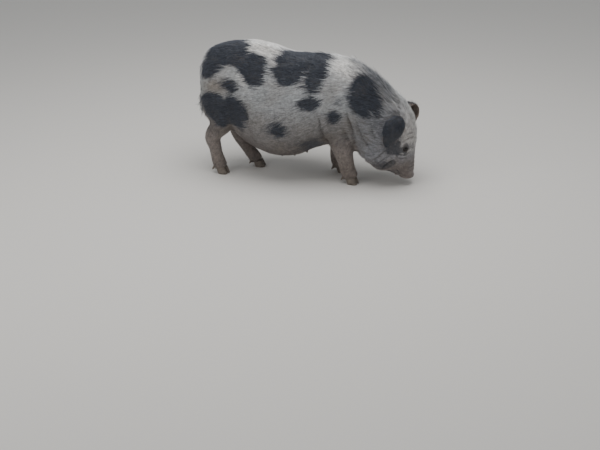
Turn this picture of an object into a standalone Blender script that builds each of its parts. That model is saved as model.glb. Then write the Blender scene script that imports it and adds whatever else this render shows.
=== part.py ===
"""Spotted pot-bellied sow, standing with her head lowered to the ground, as a still life-size model.

Metres, +Z up. She faces +X and her left side is +Y. Her flesh is modelled whole as one smooth skin
from lofted stations, then parted with thin cuts into the parts that a person would name.
"""
import math

import bmesh
import bpy
import numpy as np
from mathutils import Matrix, Vector

# Driving sizes
GAP = 0.0003                      # what touching pieces keep between them
BODY_GRAIN = 0.0065               # grain of the blended flesh before it is thinned
HEAD_GRAIN = 0.0045
HEAD_YAW = math.radians(-9.0)     # the head turns a little to her right
BEND_FROM = 0.38                  # x where the midline starts to swing to her right
BEND_LENGTH = 0.10                # over this length it reaches the head's own heading

# Trunk stations, rump to snout. Each row is: top x, top z, bottom x, bottom z, half-width,
# height of the widest place as a share of the depth, roundness above it, roundness below it.
TRUNK = (
    (-0.374, 0.452, -0.368, 0.330, 0.030, 0.50, 2.0, 2.0),   # under the tail root
    (-0.381, 0.486, -0.362, 0.275, 0.072, 0.52, 2.0, 2.0),   # buttock
    (-0.361, 0.526, -0.342, 0.240, 0.112, 0.50, 2.0, 2.1),
    (-0.305, 0.557, -0.300, 0.215, 0.138, 0.47, 2.1, 2.2),   # rump
    (-0.225, 0.574, -0.235, 0.178, 0.158, 0.46, 2.1, 2.2),   # croup
    (-0.140, 0.576, -0.160, 0.127, 0.185, 0.44, 2.1, 2.2),   # loin
    (-0.060, 0.560, -0.080, 0.098, 0.208, 0.42, 2.1, 2.2),
    (0.010, 0.540, -0.010, 0.091, 0.214, 0.41, 2.1, 2.2),    # belly
    (0.080, 0.536, 0.060, 0.103, 0.207, 0.42, 2.1, 2.2),
    (0.150, 0.536, 0.125, 0.134, 0.190, 0.43, 2.1, 2.2),     # girth
    (0.220, 0.530, 0.190, 0.155, 0.170, 0.45, 2.1, 2.2),     # withers
    (0.285, 0.516, 0.240, 0.165, 0.158, 0.46, 2.0, 2.2),     # chest
    (0.343, 0.483, 0.285, 0.150, 0.148, 0.44, 2.0, 2.2),     # root of neck
    (0.401, 0.439, 0.315, 0.122, 0.143, 0.40, 2.0, 2.2),
    (0.455, 0.395, 0.345, 0.098, 0.140, 0.38, 2.0, 2.3),     # nape
    (0.505, 0.346, 0.378, 0.080, 0.133, 0.37, 2.0, 2.3),     # poll
    (0.538, 0.295, 0.405, 0.070, 0.121, 0.37, 1.9, 2.3),     # forehead
    (0.551, 0.240, 0.428, 0.062, 0.107, 0.37, 1.75, 2.3),
    (0.550, 0.188, 0.448, 0.056, 0.093, 0.40, 1.75, 2.2),    # eyes
    (0.547, 0.140, 0.462, 0.050, 0.077, 0.45, 1.9, 2.1),     # cheek to muzzle
    (0.547, 0.100, 0.473, 0.044, 0.060, 0.50, 2.1, 2.1),     # muzzle
    (0.548, 0.070, 0.482, 0.040, 0.049, 0.52, 2.1, 2.1),
    (0.548, 0.050, 0.487, 0.042, 0.042, 0.52, 2.1, 2.1),     # behind the snout disc
)
TRUNK_SIDES = 48

# Legs, body to coronet. Each row is: x, y, z, half-width across, half-width fore and aft.
LEGS = {
    "hind_right": (
        (-0.240, -0.080, 0.400, 0.045, 0.085),
        (-0.245, -0.088, 0.330, 0.052, 0.085),
        (-0.257, -0.098, 0.272, 0.050, 0.070),
        (-0.279, -0.102, 0.226, 0.040, 0.047),
        (-0.308, -0.102, 0.192, 0.031, 0.039),
        (-0.321, -0.098, 0.160, 0.027, 0.037),
        (-0.313, -0.094, 0.125, 0.025, 0.031),
        (-0.307, -0.090, 0.085, 0.026, 0.030),
        (-0.300, -0.086, 0.055, 0.030, 0.032),
        (-0.290, -0.084, 0.020, 0.030, 0.032),
    ),
    "hind_left": (
        (-0.220, 0.075, 0.400, 0.045, 0.085),
        (-0.215, 0.080, 0.330, 0.052, 0.085),
        (-0.222, 0.082, 0.260, 0.050, 0.070),
        (-0.247, 0.078, 0.205, 0.038, 0.048),
        (-0.258, 0.068, 0.165, 0.030, 0.043),
        (-0.248, 0.058, 0.130, 0.026, 0.034),
        (-0.223, 0.050, 0.098, 0.025, 0.030),
        (-0.196, 0.044, 0.068, 0.027, 0.030),
        (-0.176, 0.041, 0.045, 0.030, 0.032),
        (-0.162, 0.040, 0.018, 0.030, 0.032),
    ),
    "fore_right": (
        (0.225, -0.100, 0.380, 0.040, 0.090),
        (0.230, -0.105, 0.300, 0.046, 0.080),
        (0.240, -0.103, 0.240, 0.043, 0.062),
        (0.247, -0.098, 0.190, 0.038, 0.052),
        (0.256, -0.090, 0.145, 0.034, 0.044),
        (0.265, -0.083, 0.105, 0.031, 0.038),
        (0.273, -0.078, 0.070, 0.030, 0.036),
        (0.281, -0.075, 0.045, 0.031, 0.036),
        (0.289, -0.074, 0.018, 0.032, 0.036),
    ),
    "fore_left": (
        (0.210, 0.095, 0.380, 0.040, 0.090),
        (0.212, 0.098, 0.300, 0.046, 0.080),
        (0.212, 0.094, 0.240, 0.042, 0.060),
        (0.208, 0.085, 0.190, 0.037, 0.049),
        (0.203, 0.075, 0.145, 0.033, 0.041),
        (0.200, 0.068, 0.105, 0.030, 0.036),
        (0.199, 0.062, 0.070, 0.029, 0.033),
        (0.206, 0.060, 0.045, 0.031, 0.033),
        (0.214, 0.059, 0.018, 0.032, 0.034),
    ),
}
LEG_SIDES = 20

# Where each foot stands and how far it toes out
FEET = {
    "hind_right": (-0.282, -0.084, math.radians(-10)),
    "hind_left": (-0.150, 0.040, math.radians(6)),
    "fore_right": (0.296, -0.074, math.radians(-10)),
    "fore_left": (0.224, 0.059, math.radians(6)),
}
# The wedge of space that holds each leg: x of its back wall, x of its front wall at the ground and
# at the top, height of its top at the back and at the front. The top is where leg and trunk part.
LEG_CUTS = {
    "hind_right": (-0.410, -0.220, -0.207, 0.264, 0.192),
    "hind_left": (-0.370, -0.100, -0.205, 0.262, 0.190),
    "fore_right": (0.184, 0.350, 0.306, 0.172, 0.222),
    "fore_left": (0.146, 0.288, 0.272, 0.172, 0.222),
}
LEG_CUT_INNER = (0.004, 0.032)     # distance from the midline of its inner wall, at the ground and the top
LEG_CUT_OUTER = 0.24
LEG_CUT_FLOOR = -0.02

# Feet
HOOF_TOP = 0.030                  # coronet height at the middle of the foot
HOOF_SLOPE = math.radians(14)     # the coronet falls to the heel
HOOF_LENGTH = 0.047
HOOF_WIDTH = 0.0245
HOOF_CLEFT = 0.0035
DEWCLAW_LENGTH = 0.024
DEWCLAW_RADIUS = 0.0075

# Head
EYE_RADIUS = 0.0115
EYE_PLACE = (0.531, 0.177)              # x and height; how far out comes from the face itself
EYE_DEPTH = 0.0118                      # the ball's centre below the face
LID_THICKNESS = 0.0040
EYE_LOOK = (0.60, 0.79, 0.10)           # forward, outward, up
EYE_MOUND = (-0.002, 0.001, 0.026, 0.0205)        # forward of the eye, above it, radius, depth
BROW = (-0.002, 0.030, 0.030, 0.0260)
SNOUT_RADII = (0.0335, 0.0435)          # fore and aft, across
SNOUT_PLACE = (0.5195, 0.0, 0.0455)
SNOUT_THICKNESS = 0.023
SNOUT_TILT = math.radians(5)
NOSTRIL_RADII = (0.0085, 0.0060, 0.012)
NOSTRIL_OFF = 0.0155
MOUTH = ((0.476, 0.024), (0.4815, 0.042), (0.480, 0.056), (0.471, 0.072), (0.457, 0.086), (0.441, 0.094))
MOUTH_GAPE = 0.0026
LIP_SPREAD = (0.026, 0.031, 0.037, 0.046, 0.058, 0.070)
LIP_RADIUS = 0.0065
ORBIT_HOLLOW = ((0.556, 0.130, 0.158), (0.055, 0.056, 0.060))   # the dip between cheek and muzzle

# Ears: spine points as x, off the midline, height; half of the flat width; curl each way
EAR = (
    (0.478, 0.066, 0.294, 0.022, math.radians(95)),
    (0.487, 0.094, 0.316, 0.027, math.radians(66)),
    (0.496, 0.121, 0.324, 0.034, math.radians(38)),
    (0.502, 0.140, 0.309, 0.045, math.radians(30)),
    (0.502, 0.147, 0.279, 0.049, math.radians(32)),
    (0.494, 0.147, 0.246, 0.043, math.radians(34)),
    (0.481, 0.143, 0.219, 0.030, math.radians(32)),
    (0.470, 0.139, 0.198, 0.010, math.radians(24)),
)
EAR_SPREAD = {-1: 1.0, 1: 0.92}         # her left ear hangs closer to the cheek
EAR_BACK = {-1: 0.0, 1: -0.014}         # and a little further back
EAR_THICKNESS = 0.0052
EAR_ACROSS = (0.88, -0.42, 0.24)        # the ear's width runs fore and aft, its back edge further out
EAR_STEPS = 2                           # sections for each row
EAR_COLUMNS = 8
EAR_CUT = 2                             # the section at which the ear is parted from its root

# Tail: x, y, z, radius
TAIL = (
    (-0.345, 0.000, 0.474, 0.017),
    (-0.370, -0.002, 0.468, 0.015),
    (-0.385, -0.005, 0.448, 0.011),
    (-0.3890, -0.008, 0.422, 0.0088),
    (-0.3900, -0.010, 0.392, 0.0076),
    (-0.3895, -0.011, 0.362, 0.0070),
    (-0.3875, -0.010, 0.334, 0.0070),
    (-0.3850, -0.008, 0.308, 0.0054),
    (-0.3820, -0.006, 0.286, 0.0022),
)
TAIL_CUT = ((-0.381, 0.0, 0.455), (-0.72, 0.0, -0.70))   # a point on the cut and the way it faces

# Where the neck starts and ends: a point on each cut and the way it faces
NECK_FROM = ((0.300, 0.0, 0.330), (0.97, 0.0, -0.24))
NECK_TO = ((0.408, -0.012, 0.255), (0.90, 0.0, -0.43))

# Crest of bristle locks from her poll to her withers, lying backward
CREST_ENDS = (0.255, 0.532)             # x of its first and last row
CREST_ROW = 0.0195                      # from row to row along the crest
CREST_COLUMNS = ((-0.0185, 0.0005, 0.0190), (-0.0095, 0.0100))   # off the midline, in turn
CREST_LOCK = (0.047, 0.0110, 0.0084, 0.0034)                     # length, rise, width, thickness
CREST_CLEAR = 0.010                     # no root this close to a cut
LOCK_SHAPE = ((-0.10, -0.55, 0.90), (0.14, 0.36, 1.0), (0.42, 0.76, 0.88), (0.74, 0.97, 0.52), (1.0, 1.0, 0.10))

# Switch of the tail: height of each lock's root, its bearing about the tail, its length
SWITCH = (
    (0.352, 180, 0.060), (0.344, 100, 0.058), (0.344, 260, 0.058), (0.328, 215, 0.060),
    (0.324, 140, 0.060), (0.306, 180, 0.052), (0.300, 90, 0.046), (0.300, 270, 0.046),
)
SWITCH_LOCK = (0.0050, 0.0084, 0.0032)  # rise, width, thickness

# Teats in two rows
TEAT_XS = (-0.185, -0.130, -0.075, -0.020, 0.035, 0.090)
TEAT_OFF = 0.050

COLOURS = {
    "torso": (0.34, 0.33, 0.32),
    "neck": (0.26, 0.26, 0.26),
    "head": (0.24, 0.23, 0.22),
    "ear": (0.035, 0.033, 0.036),
    "leg": (0.12, 0.10, 0.09),
    "tail": (0.05, 0.05, 0.055),
    "eye": (0.02, 0.016, 0.012),
    "hoof": (0.09, 0.08, 0.07),
}


def clear_scene():
    for thing in list(bpy.data.objects):
        bpy.data.objects.remove(thing)


def through(rows, steps):
    """Rows of numbers made finer by a smooth curve through them all."""
    rows = np.asarray(rows, float)
    fine = []
    last = len(rows) - 1
    for i in range(last):
        before, here = rows[max(i - 1, 0)], rows[i]
        after, beyond = rows[i + 1], rows[min(i + 2, last)]
        for k in range(steps):
            t = k / steps
            fine.append(
                0.5 * (2 * here + (after - before) * t
                       + (2 * before - 5 * here + 4 * after - beyond) * t * t
                       + (3 * here - before - 3 * after + beyond) * t ** 3)
            )
    fine.append(rows[last])
    return np.array(fine)


def bent(value, power):
    """A cosine or sine bent towards a fuller or leaner oval."""
    return math.copysign(abs(value) ** (2 / power), value)


def midline(x):
    """Where her midline runs in y: straight, then swinging to her right along the neck and head."""
    past = max(0.0, x - BEND_FROM)
    if past < BEND_LENGTH:
        return math.tan(HEAD_YAW) * past * past / (2 * BEND_LENGTH)
    return math.tan(HEAD_YAW) * (past - BEND_LENGTH / 2)


def yaw_at(x):
    return HEAD_YAW * min(1.0, max(0.0, (x - BEND_FROM) / BEND_LENGTH))


def off_midline(x, off, z):
    """A point beside the midline, square to it."""
    turn = yaw_at(x)
    return Vector((x, midline(x), z)) + Vector((-math.sin(turn), math.cos(turn), 0)) * off


def linked(name, data):
    made = bpy.data.objects.new(name, data)
    bpy.context.scene.collection.objects.link(made)
    return made


def from_bmesh(name, mesh):
    bmesh.ops.recalc_face_normals(mesh, faces=mesh.faces)
    bmesh.ops.triangulate(mesh, faces=mesh.faces)
    data = bpy.data.meshes.new(name)
    mesh.to_mesh(data)
    mesh.free()
    return linked(name, data)


def skin(name, rings):
    """A closed mesh through rings of points, with a fan at each end."""
    mesh = bmesh.new()
    loops = [[mesh.verts.new(p) for p in ring] for ring in rings]
    for a, b in zip(loops, loops[1:]):
        for i in range(len(a)):
            j = (i + 1) % len(a)
            mesh.faces.new((a[i], a[j], b[j], b[i]))
    for loop in (loops[0], loops[-1]):
        middle = mesh.verts.new(sum((v.co for v in loop), Vector()) / len(loop))
        for i in range(len(loop)):
            mesh.faces.new((loop[i], loop[(i + 1) % len(loop)], middle))
    return from_bmesh(name, mesh)


def trunk_ring(row):
    top_x, top_z, low_x, low_z, half_width, widest, above, below = row
    top = Vector((top_x, midline(top_x), top_z))
    low = Vector((low_x, midline(low_x), low_z))
    turn = yaw_at((top_x + low_x) / 2)
    side = Vector((-math.sin(turn), math.cos(turn), 0))
    ring = []
    for i in range(TRUNK_SIDES):
        angle = 2 * math.pi * i / TRUNK_SIDES
        across, rise = math.cos(angle), math.sin(angle)
        power = above if rise >= 0 else below
        reach = 1 - widest if rise >= 0 else widest
        height = widest + reach * bent(rise, power)
        ring.append(low + (top - low) * height + side * half_width * bent(across, power))
    return ring


def tube(name, rows, sides, steps=4):
    """A limb through rows of x, y, z, half-width across and half-width fore and aft."""
    fine = through(rows, steps)
    centres = [Vector(r[:3]) for r in fine]
    rings = []
    for i, row in enumerate(fine):
        ahead = (centres[min(i + 1, len(centres) - 1)] - centres[max(i - 1, 0)]).normalized()
        fore = Vector((0, 1, 0)).cross(ahead).normalized()
        across = ahead.cross(fore).normalized()
        ring = []
        for k in range(sides):
            angle = 2 * math.pi * k / sides
            ring.append(centres[i] + across * row[3] * math.cos(angle) + fore * row[4] * math.sin(angle))
        rings.append(ring)
    return skin(name, rings)


def cord(name, points, sides, steps=3):
    """A round tube through rows of x, y, z and radius."""
    return tube(name, [(x, y, z, r, r) for x, y, z, r in points], sides, steps)


def lump(name, centre, radii, turn=(0, 0, 0), sides=24):
    """An oval mass."""
    mesh = bmesh.new()
    bmesh.ops.create_uvsphere(mesh, u_segments=sides, v_segments=sides // 2, radius=1)
    turned = (Matrix.Rotation(turn[2], 4, "Z") @ Matrix.Rotation(turn[1], 4, "Y")
              @ Matrix.Rotation(turn[0], 4, "X"))
    place = Matrix.Translation(Vector(centre)) @ turned @ Matrix.Diagonal((*radii, 1))
    bmesh.ops.transform(mesh, matrix=place, verts=mesh.verts)
    return from_bmesh(name, mesh)


def slab(name, middle, facing, thickness, reach=1.2):
    """A wide block whose near face passes through a point, and which runs the way it faces."""
    mesh = bmesh.new()
    bmesh.ops.create_cube(mesh, size=1)
    normal = Vector(facing).normalized()
    turn = normal.to_track_quat("Z", "Y").to_matrix().to_4x4()
    place = (Matrix.Translation(Vector(middle) + normal * thickness / 2) @ turn
             @ Matrix.Diagonal((reach, reach, thickness, 1)))
    bmesh.ops.transform(mesh, matrix=place, verts=mesh.verts)
    return from_bmesh(name, mesh)


def combined(name, first, others, operation):
    """One Boolean of a mesh with closed meshes, applied; the others are used up."""
    group = bpy.data.collections.new(name + "_pieces")
    for piece in others:
        group.objects.link(piece)
    change = first.modifiers.new("join", "BOOLEAN")
    change.operation = operation
    change.operand_type = "COLLECTION"
    change.collection = group
    change.solver = "EXACT"
    made = linked(name, bpy.data.meshes.new_from_object(
        first.evaluated_get(bpy.context.evaluated_depsgraph_get())))
    for piece in (first, *others):
        bpy.data.objects.remove(piece)
    bpy.data.collections.remove(group)
    return made


def crossed(name, first, second):
    """What two closed meshes share; both are used up."""
    change = first.modifiers.new("share", "BOOLEAN")
    change.operation = "INTERSECT"
    change.object = second
    change.solver = "EXACT"
    made = linked(name, bpy.data.meshes.new_from_object(
        first.evaluated_get(bpy.context.evaluated_depsgraph_get())))
    for piece in (first, second):
        bpy.data.objects.remove(piece)
    return made


def copied(thing, name):
    return linked(name, thing.data.copy())


def settled(thing):
    """The object with its modifiers applied."""
    data = bpy.data.meshes.new_from_object(thing.evaluated_get(bpy.context.evaluated_depsgraph_get()))
    name = thing.name
    bpy.data.objects.remove(thing)
    return linked(name, data)


def blended(thing, grain, rounds):
    """Flesh run together into one smooth skin."""
    remesh = thing.modifiers.new("blend", "REMESH")
    remesh.mode = "VOXEL"
    remesh.voxel_size = grain
    soften = thing.modifiers.new("soften", "SMOOTH")
    soften.iterations = rounds
    soften.factor = 0.5
    return settled(thing)


def thinned(thing, faces):
    """The same skin with about this many triangles."""
    have = sum(len(p.vertices) - 2 for p in thing.data.polygons)
    thin = thing.modifiers.new("thin", "DECIMATE")
    thin.ratio = min(1.0, faces / have)
    thin.use_collapse_triangulate = True
    return settled(thing)


def largest(thing):
    """Only the largest closed surface of a mesh."""
    mesh = bmesh.new()
    mesh.from_mesh(thing.data)
    mesh.verts.ensure_lookup_table()
    shells = []
    seen = set()
    for start in mesh.verts:
        if start.index in seen:
            continue
        shell, open_ends = [], [start]
        seen.add(start.index)
        while open_ends:
            point = open_ends.pop()
            shell.append(point)
            for edge in point.link_edges:
                other = edge.other_vert(point)
                if other.index not in seen:
                    seen.add(other.index)
                    open_ends.append(other)
        shells.append(shell)
    shells.sort(key=len)
    scraps = [v for shell in shells[:-1] for v in shell]
    bmesh.ops.delete(mesh, geom=scraps, context="VERTS")
    bmesh.ops.triangulate(mesh, faces=mesh.faces)
    mesh.to_mesh(thing.data)
    mesh.free()
    return thing


def grown(thing, name, by):
    """A copy pushed outward everywhere: the room that a touching neighbour leaves."""
    mesh = bmesh.new()
    mesh.from_mesh(thing.data)
    mesh.normal_update()
    shifts = [point.normal * by * min(point.calc_shell_factor(), 2.0) for point in mesh.verts]
    for point, shift in zip(mesh.verts, shifts):
        point.co += shift
    return from_bmesh(name, mesh)


def flesh(name):
    """Every mass of flesh but the ears and tail, run together as one closed mesh."""
    pieces = [tube(leg, rows, LEG_SIDES) for leg, rows in LEGS.items()]
    trunk = skin("trunk", [trunk_ring(row) for row in through(TRUNK, 4)])
    for side in (-1, 1):
        pieces.append(lump("ham", (-0.262, 0.078 * side, 0.335), (0.112, 0.082, 0.135)))
        pieces.append(lump("shoulder", (0.222, 0.083 * side, 0.330), (0.102, 0.085, 0.150)))
        pieces.append(lump("jowl", off_midline(0.430, 0.072 * side, 0.155), (0.072, 0.060, 0.082)))
        for forward, up, radius, depth in (EYE_MOUND, BROW):
            place, normal = face_at(trunk, side, EYE_PLACE[0] + forward, EYE_PLACE[1] + up)
            pieces.append(lump("mound", place - normal * depth, (radius, radius, radius)))
        pieces.append(lump("ear_root", off_midline(0.480, 0.060 * side, 0.296), (0.028, 0.028, 0.026)))
        lip = [(*off_midline(x, off * side, z), LIP_RADIUS)
               for (x, z), off in zip(MOUTH[1:], LIP_SPREAD[1:])]
        pieces.append(cord("lip", lip, 12))
        for x in TEAT_XS:
            pieces.append(lump("teat", (x, TEAT_OFF * side, belly_at(x) + 0.014), (0.008, 0.008, 0.018)))
    dips = []
    for side in (-1, 1):
        (x, off, z), radii = ORBIT_HOLLOW
        dips.append(lump("dip", off_midline(x, off * side, z), radii))
    trunk = combined("trunk", trunk, dips, "DIFFERENCE")
    return combined(name, trunk, pieces, "UNION")


def belly_at(x):
    """Height of the belly's lowest line."""
    lows = sorted((row[2], row[3]) for row in TRUNK)
    return float(np.interp(x, [low[0] for low in lows], [low[1] for low in lows]))


def leg_block(leg, grow):
    """The wedge of space that belongs to one leg."""
    back, front_low, front_high, back_top, front_top = LEG_CUTS[leg]
    side = -1 if leg.endswith("right") else 1
    inner_low, inner_high = (inner - grow for inner in LEG_CUT_INNER)
    outer = LEG_CUT_OUTER + grow
    floor = LEG_CUT_FLOOR - grow
    low = [(back - grow, inner_low), (front_low + grow, inner_low),
           (front_low + grow, outer), (back - grow, outer)]
    high = [(back - grow, inner_high, back_top), (front_high + grow, inner_high, front_top),
            (front_high + grow, outer, front_top), (back - grow, outer, back_top)]
    rings = ([Vector((x, y * side, floor)) for x, y in low],
             [Vector((x, y * side, z + grow)) for x, y, z in high])
    return skin(leg + "_block", rings)


def foot_matrix(leg):
    x, y, toe_out = FEET[leg]
    return Matrix.Translation((x, y, 0)) @ Matrix.Rotation(toe_out, 4, "Z")


def coronet(leg, thickness, drop):
    """A block above the coronet of one foot, or a thin one when parted from the claws."""
    place = foot_matrix(leg)
    facing = Vector((-math.sin(HOOF_SLOPE), 0, math.cos(HOOF_SLOPE)))
    middle = place @ Vector((0, 0, HOOF_TOP - drop))
    return slab(leg + "_coronet", middle, place.to_3x3() @ facing, thickness, 0.5)


def claw(leg, side):
    """One of the two main claws: a blunt wedge, flat below, under the coronet."""
    place = foot_matrix(leg)
    rings = []
    for k, z in enumerate((0.0, 0.006, 0.018, 0.046)):
        share = z / 0.046
        length = HOOF_LENGTH * (1.0 - 0.22 * share) - (0.003 if k == 0 else 0)
        width = HOOF_WIDTH * (1.0 - 0.04 * share) - (0.0016 if k == 0 else 0)
        back = 0.016 * share
        ring = []
        for i in range(12):
            angle = 2 * math.pi * i / 12
            along = bent(math.cos(angle), 2.3) * length / 2
            across = bent(math.sin(angle), 2.6) * width / 2
            across *= 1 - 0.28 * max(0.0, along / (length / 2)) ** 2
            inward = -side * 0.0030 * max(0.0, along / (length / 2)) ** 2
            ring.append(place @ Vector((along + 0.004 - back,
                                        side * (HOOF_WIDTH + HOOF_CLEFT) / 2 + across + inward, z)))
        rings.append(ring)
    whole = skin("claw", rings)
    over = coronet(leg, 0.08, GAP)
    return combined("claw", whole, [over], "DIFFERENCE")


def dewclaw_rows(leg, side, grow=0.0):
    """A small blunt cone behind the fetlock, pointing down and back."""
    place = foot_matrix(leg)
    start = place @ Vector((-0.022, side * 0.0155, 0.048))
    end = place @ Vector((-0.0475, side * 0.0190, 0.0125))
    rows = []
    for share, width in ((0.0, 0.9), (0.3, 1.0), (0.6, 0.92), (0.85, 0.62), (1.0, 0.26)):
        point = start.lerp(end, share)
        rows.append((*point, DEWCLAW_RADIUS * width + grow))
    return rows


def ear_rings(side):
    """Sections of the cupped ear: rolled at its root, opening as it folds over and hangs."""
    rows = through(EAR, EAR_STEPS)
    spine = [off_midline(x + EAR_BACK[side], off * side * EAR_SPREAD[side], z) for x, off, z in rows[:, :3]]
    across = Vector((EAR_ACROSS[0], EAR_ACROSS[1] * side, EAR_ACROSS[2])).normalized()
    rings = []
    for i, row in enumerate(rows):
        ahead = (spine[min(i + 1, len(spine) - 1)] - spine[max(i - 1, 0)]).normalized()
        width_way = (across - ahead * across.dot(ahead)).normalized()
        outward = ahead.cross(width_way) * -side
        half, curl = row[3], row[4]
        radius = half / curl
        thickness = EAR_THICKNESS * (0.6 + 0.4 * min(1.0, (len(rows) - 1 - i) / 6))
        ring = []
        for face in (1, -1):
            for k in range(EAR_COLUMNS):
                u = (2 * k / (EAR_COLUMNS - 1) - 1) * face
                reach = radius + face * thickness * (1 - 0.55 * abs(u) ** 3) / 2
                ring.append(spine[i] + width_way * reach * math.sin(u * curl)
                            + outward * (reach * math.cos(u * curl) - radius))
        rings.append(ring)
    return rings


def ear_shell(name, rings):
    """A closed shell through ear sections, its ends capped as flat crescents."""
    mesh = bmesh.new()
    loops = [[mesh.verts.new(p) for p in ring] for ring in rings]
    count = 2 * EAR_COLUMNS
    for a, b in zip(loops, loops[1:]):
        for i in range(count):
            j = (i + 1) % count
            mesh.faces.new((a[i], a[j], b[j], b[i]))
    for loop in (loops[0], loops[-1]):
        for k in range(EAR_COLUMNS - 1):
            mesh.faces.new((loop[k], loop[k + 1], loop[count - 2 - k], loop[count - 1 - k]))
    return from_bmesh(name, mesh)


def ear_stub(side):
    return ear_shell("ear_stub", ear_rings(side)[:EAR_CUT + 1])


def face_at(head, side, x, z):
    """The face where a line from beside the head meets it, and which way it looks there."""
    start = off_midline(x, 0.25 * side, z)
    inward = (off_midline(x, 0, z) - start).normalized()
    found, place, normal, index = head.ray_cast(start, inward)
    return place, normal


def eye_centre(head, side):
    place, normal = face_at(head, side, *EYE_PLACE)
    return place - eye_axis(side) * EYE_DEPTH


def eye_axis(side):
    turned = Matrix.Rotation(HEAD_YAW, 3, "Z")
    return (turned @ Vector((EYE_LOOK[0], EYE_LOOK[1] * side, EYE_LOOK[2]))).normalized()


def ball(name, centre, radius, axis, sides=12):
    """A sphere with a pole along an axis."""
    mesh = bmesh.new()
    bmesh.ops.create_uvsphere(mesh, u_segments=sides, v_segments=sides // 2, radius=radius)
    place = Matrix.Translation(centre) @ axis.to_track_quat("Z", "Y").to_matrix().to_4x4()
    bmesh.ops.transform(mesh, matrix=place, verts=mesh.verts)
    return from_bmesh(name, mesh)


def lid_opening(centre, axis):
    """The almond between the lids, as a lens-shaped bar along the eye's look."""
    along = (Vector((0.35, 0, -1)) - axis * Vector((0.35, 0, -1)).dot(axis)).normalized()
    up = axis.cross(along)
    rings = []
    for reach in (0.004, 0.011, 0.022):
        ring = []
        spread = 0.75 + 0.35 * (reach - 0.004) / 0.018
        for i in range(14):
            angle = 2 * math.pi * i / 14
            ring.append(centre + axis * reach + along * 0.0125 * spread * math.cos(angle)
                        + up * 0.0062 * spread * math.copysign(abs(math.sin(angle)) ** 1.3, math.sin(angle)))
        rings.append(ring)
    return skin("lid_opening", rings)


def mouth_cut():
    """The slit between the lips, right through the muzzle."""
    line = through(MOUTH, 3)
    mesh = bmesh.new()
    sheets = []
    for off in (-0.12, 0.12):
        row = []
        for i, (x, z) in enumerate(line):
            before, after = line[max(i - 1, 0)], line[min(i + 1, len(line) - 1)]
            way = Vector((after[0] - before[0], after[1] - before[1])).normalized()
            half = MOUTH_GAPE / 2 * (0.35 if i == len(line) - 1 else 1)
            for sign in (-1, 1):
                row.append(mesh.verts.new(off_midline(x - way.y * half * sign, off, z + way.x * half * sign)))
        sheets.append(row)
    count = len(line)
    for row, turn in ((sheets[0], 1), (sheets[1], -1)):
        for i in range(count - 1):
            mesh.faces.new((row[2 * i], row[2 * i + 1], row[2 * i + 3], row[2 * i + 2])[::turn])
    for i in range(count - 1):
        for k in (0, 1):
            a, b = sheets[0][2 * i + k], sheets[0][2 * i + 2 + k]
            mesh.faces.new((a, b, sheets[1][2 * i + 2 + k], sheets[1][2 * i + k]))
    for i in (0, count - 1):
        mesh.faces.new((sheets[0][2 * i], sheets[0][2 * i + 1], sheets[1][2 * i + 1], sheets[1][2 * i]))
    return from_bmesh("mouth_cut", mesh)


def snout_disc():
    """The bare flat end of the nose, a little proud of the muzzle, with a rounded rim."""
    x, off, z = SNOUT_PLACE
    fore, across = SNOUT_RADII
    turn = Matrix.Rotation(HEAD_YAW, 4, "Z") @ Matrix.Rotation(SNOUT_TILT, 4, "Y")
    place = Matrix.Translation(off_midline(x, off, z)) @ turn
    rings = []
    half = SNOUT_THICKNESS / 2
    for height, share in ((half, 0.82), (half * 0.3, 0.93), (-half * 0.45, 1.0), (-half * 0.85, 0.97),
                          (-half, 0.90)):
        ring = []
        for i in range(28):
            angle = 2 * math.pi * i / 28
            ring.append(place @ Vector((fore * share * math.cos(angle), across * share * math.sin(angle), height)))
        rings.append(ring)
    return skin("snout", rings)


def nostril(side):
    x, off, z = SNOUT_PLACE
    centre = off_midline(x + 0.002, NOSTRIL_OFF * side, z - SNOUT_THICKNESS / 2)
    return lump("nostril", centre, NOSTRIL_RADII, turn=(0, 0, HEAD_YAW + 0.35 * side), sides=14)


def tail_solid():
    return cord("tail", TAIL, 12)


def lock(root, out, lie, size, sway):
    """A flat tapered tuft: sunk at its root, it rises out of the coat and bends over along its lie."""
    length, rise, width, thickness = size
    side = lie.cross(out).normalized()
    rings = []
    for along, height, share in LOCK_SHAPE:
        middle = root + lie * length * along + out * rise * height + side * sway * along * abs(along)
        across, deep = side * width / 2 * share, out * thickness / 2 * (share + 0.1)
        rings.append([middle + across, middle + deep, middle - across, middle - deep])
    return skin("lock", rings)


def crest(nodes):
    """Locks for each of the nodes that the crest runs over, rooted on their surfaces."""
    line = [Vector((row[0], 0, row[1])) for row in through(TRUNK, 8) if CREST_ENDS[0] < row[0] < CREST_ENDS[1]]
    line = [point for i, point in enumerate(line) if i == 0 or point.x > line[i - 1].x]
    locks = {name: [] for name in nodes}
    draw = np.random.default_rng(11)
    run, row = 0.0, 0
    for before, here in zip(line, line[1:]):
        run += (here - before).length
        if run < CREST_ROW:
            continue
        run = 0.0
        row += 1
        back = (before - here).normalized()
        up = Vector((0, 1, 0)).cross(back).normalized()
        up = up if up.z > 0 else -up
        for off in CREST_COLUMNS[row % 2]:
            start = off_midline(here.x, off, here.z) + up * 0.06
            if any(abs((start - up * 0.06 - Vector(point)).dot(Vector(way).normalized())) < CREST_CLEAR
                   for point, way in (NECK_FROM, NECK_TO)):
                continue
            share = float(draw.uniform(0.85, 1.12))
            sway = float(draw.uniform(-0.006, 0.006)) + off * 0.25
            for name, thing in nodes.items():
                found, place, normal, index = thing.ray_cast(start, -up)
                if found:
                    lie = (back - normal * back.dot(normal)).normalized()
                    lie = Matrix.Rotation(yaw_at(here.x), 3, "Z") @ lie
                    length, rise, width, thickness = CREST_LOCK
                    locks[name].append(lock(place, normal, lie, (length * share, rise * share, width, thickness), sway))
                    break
    return locks


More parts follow.
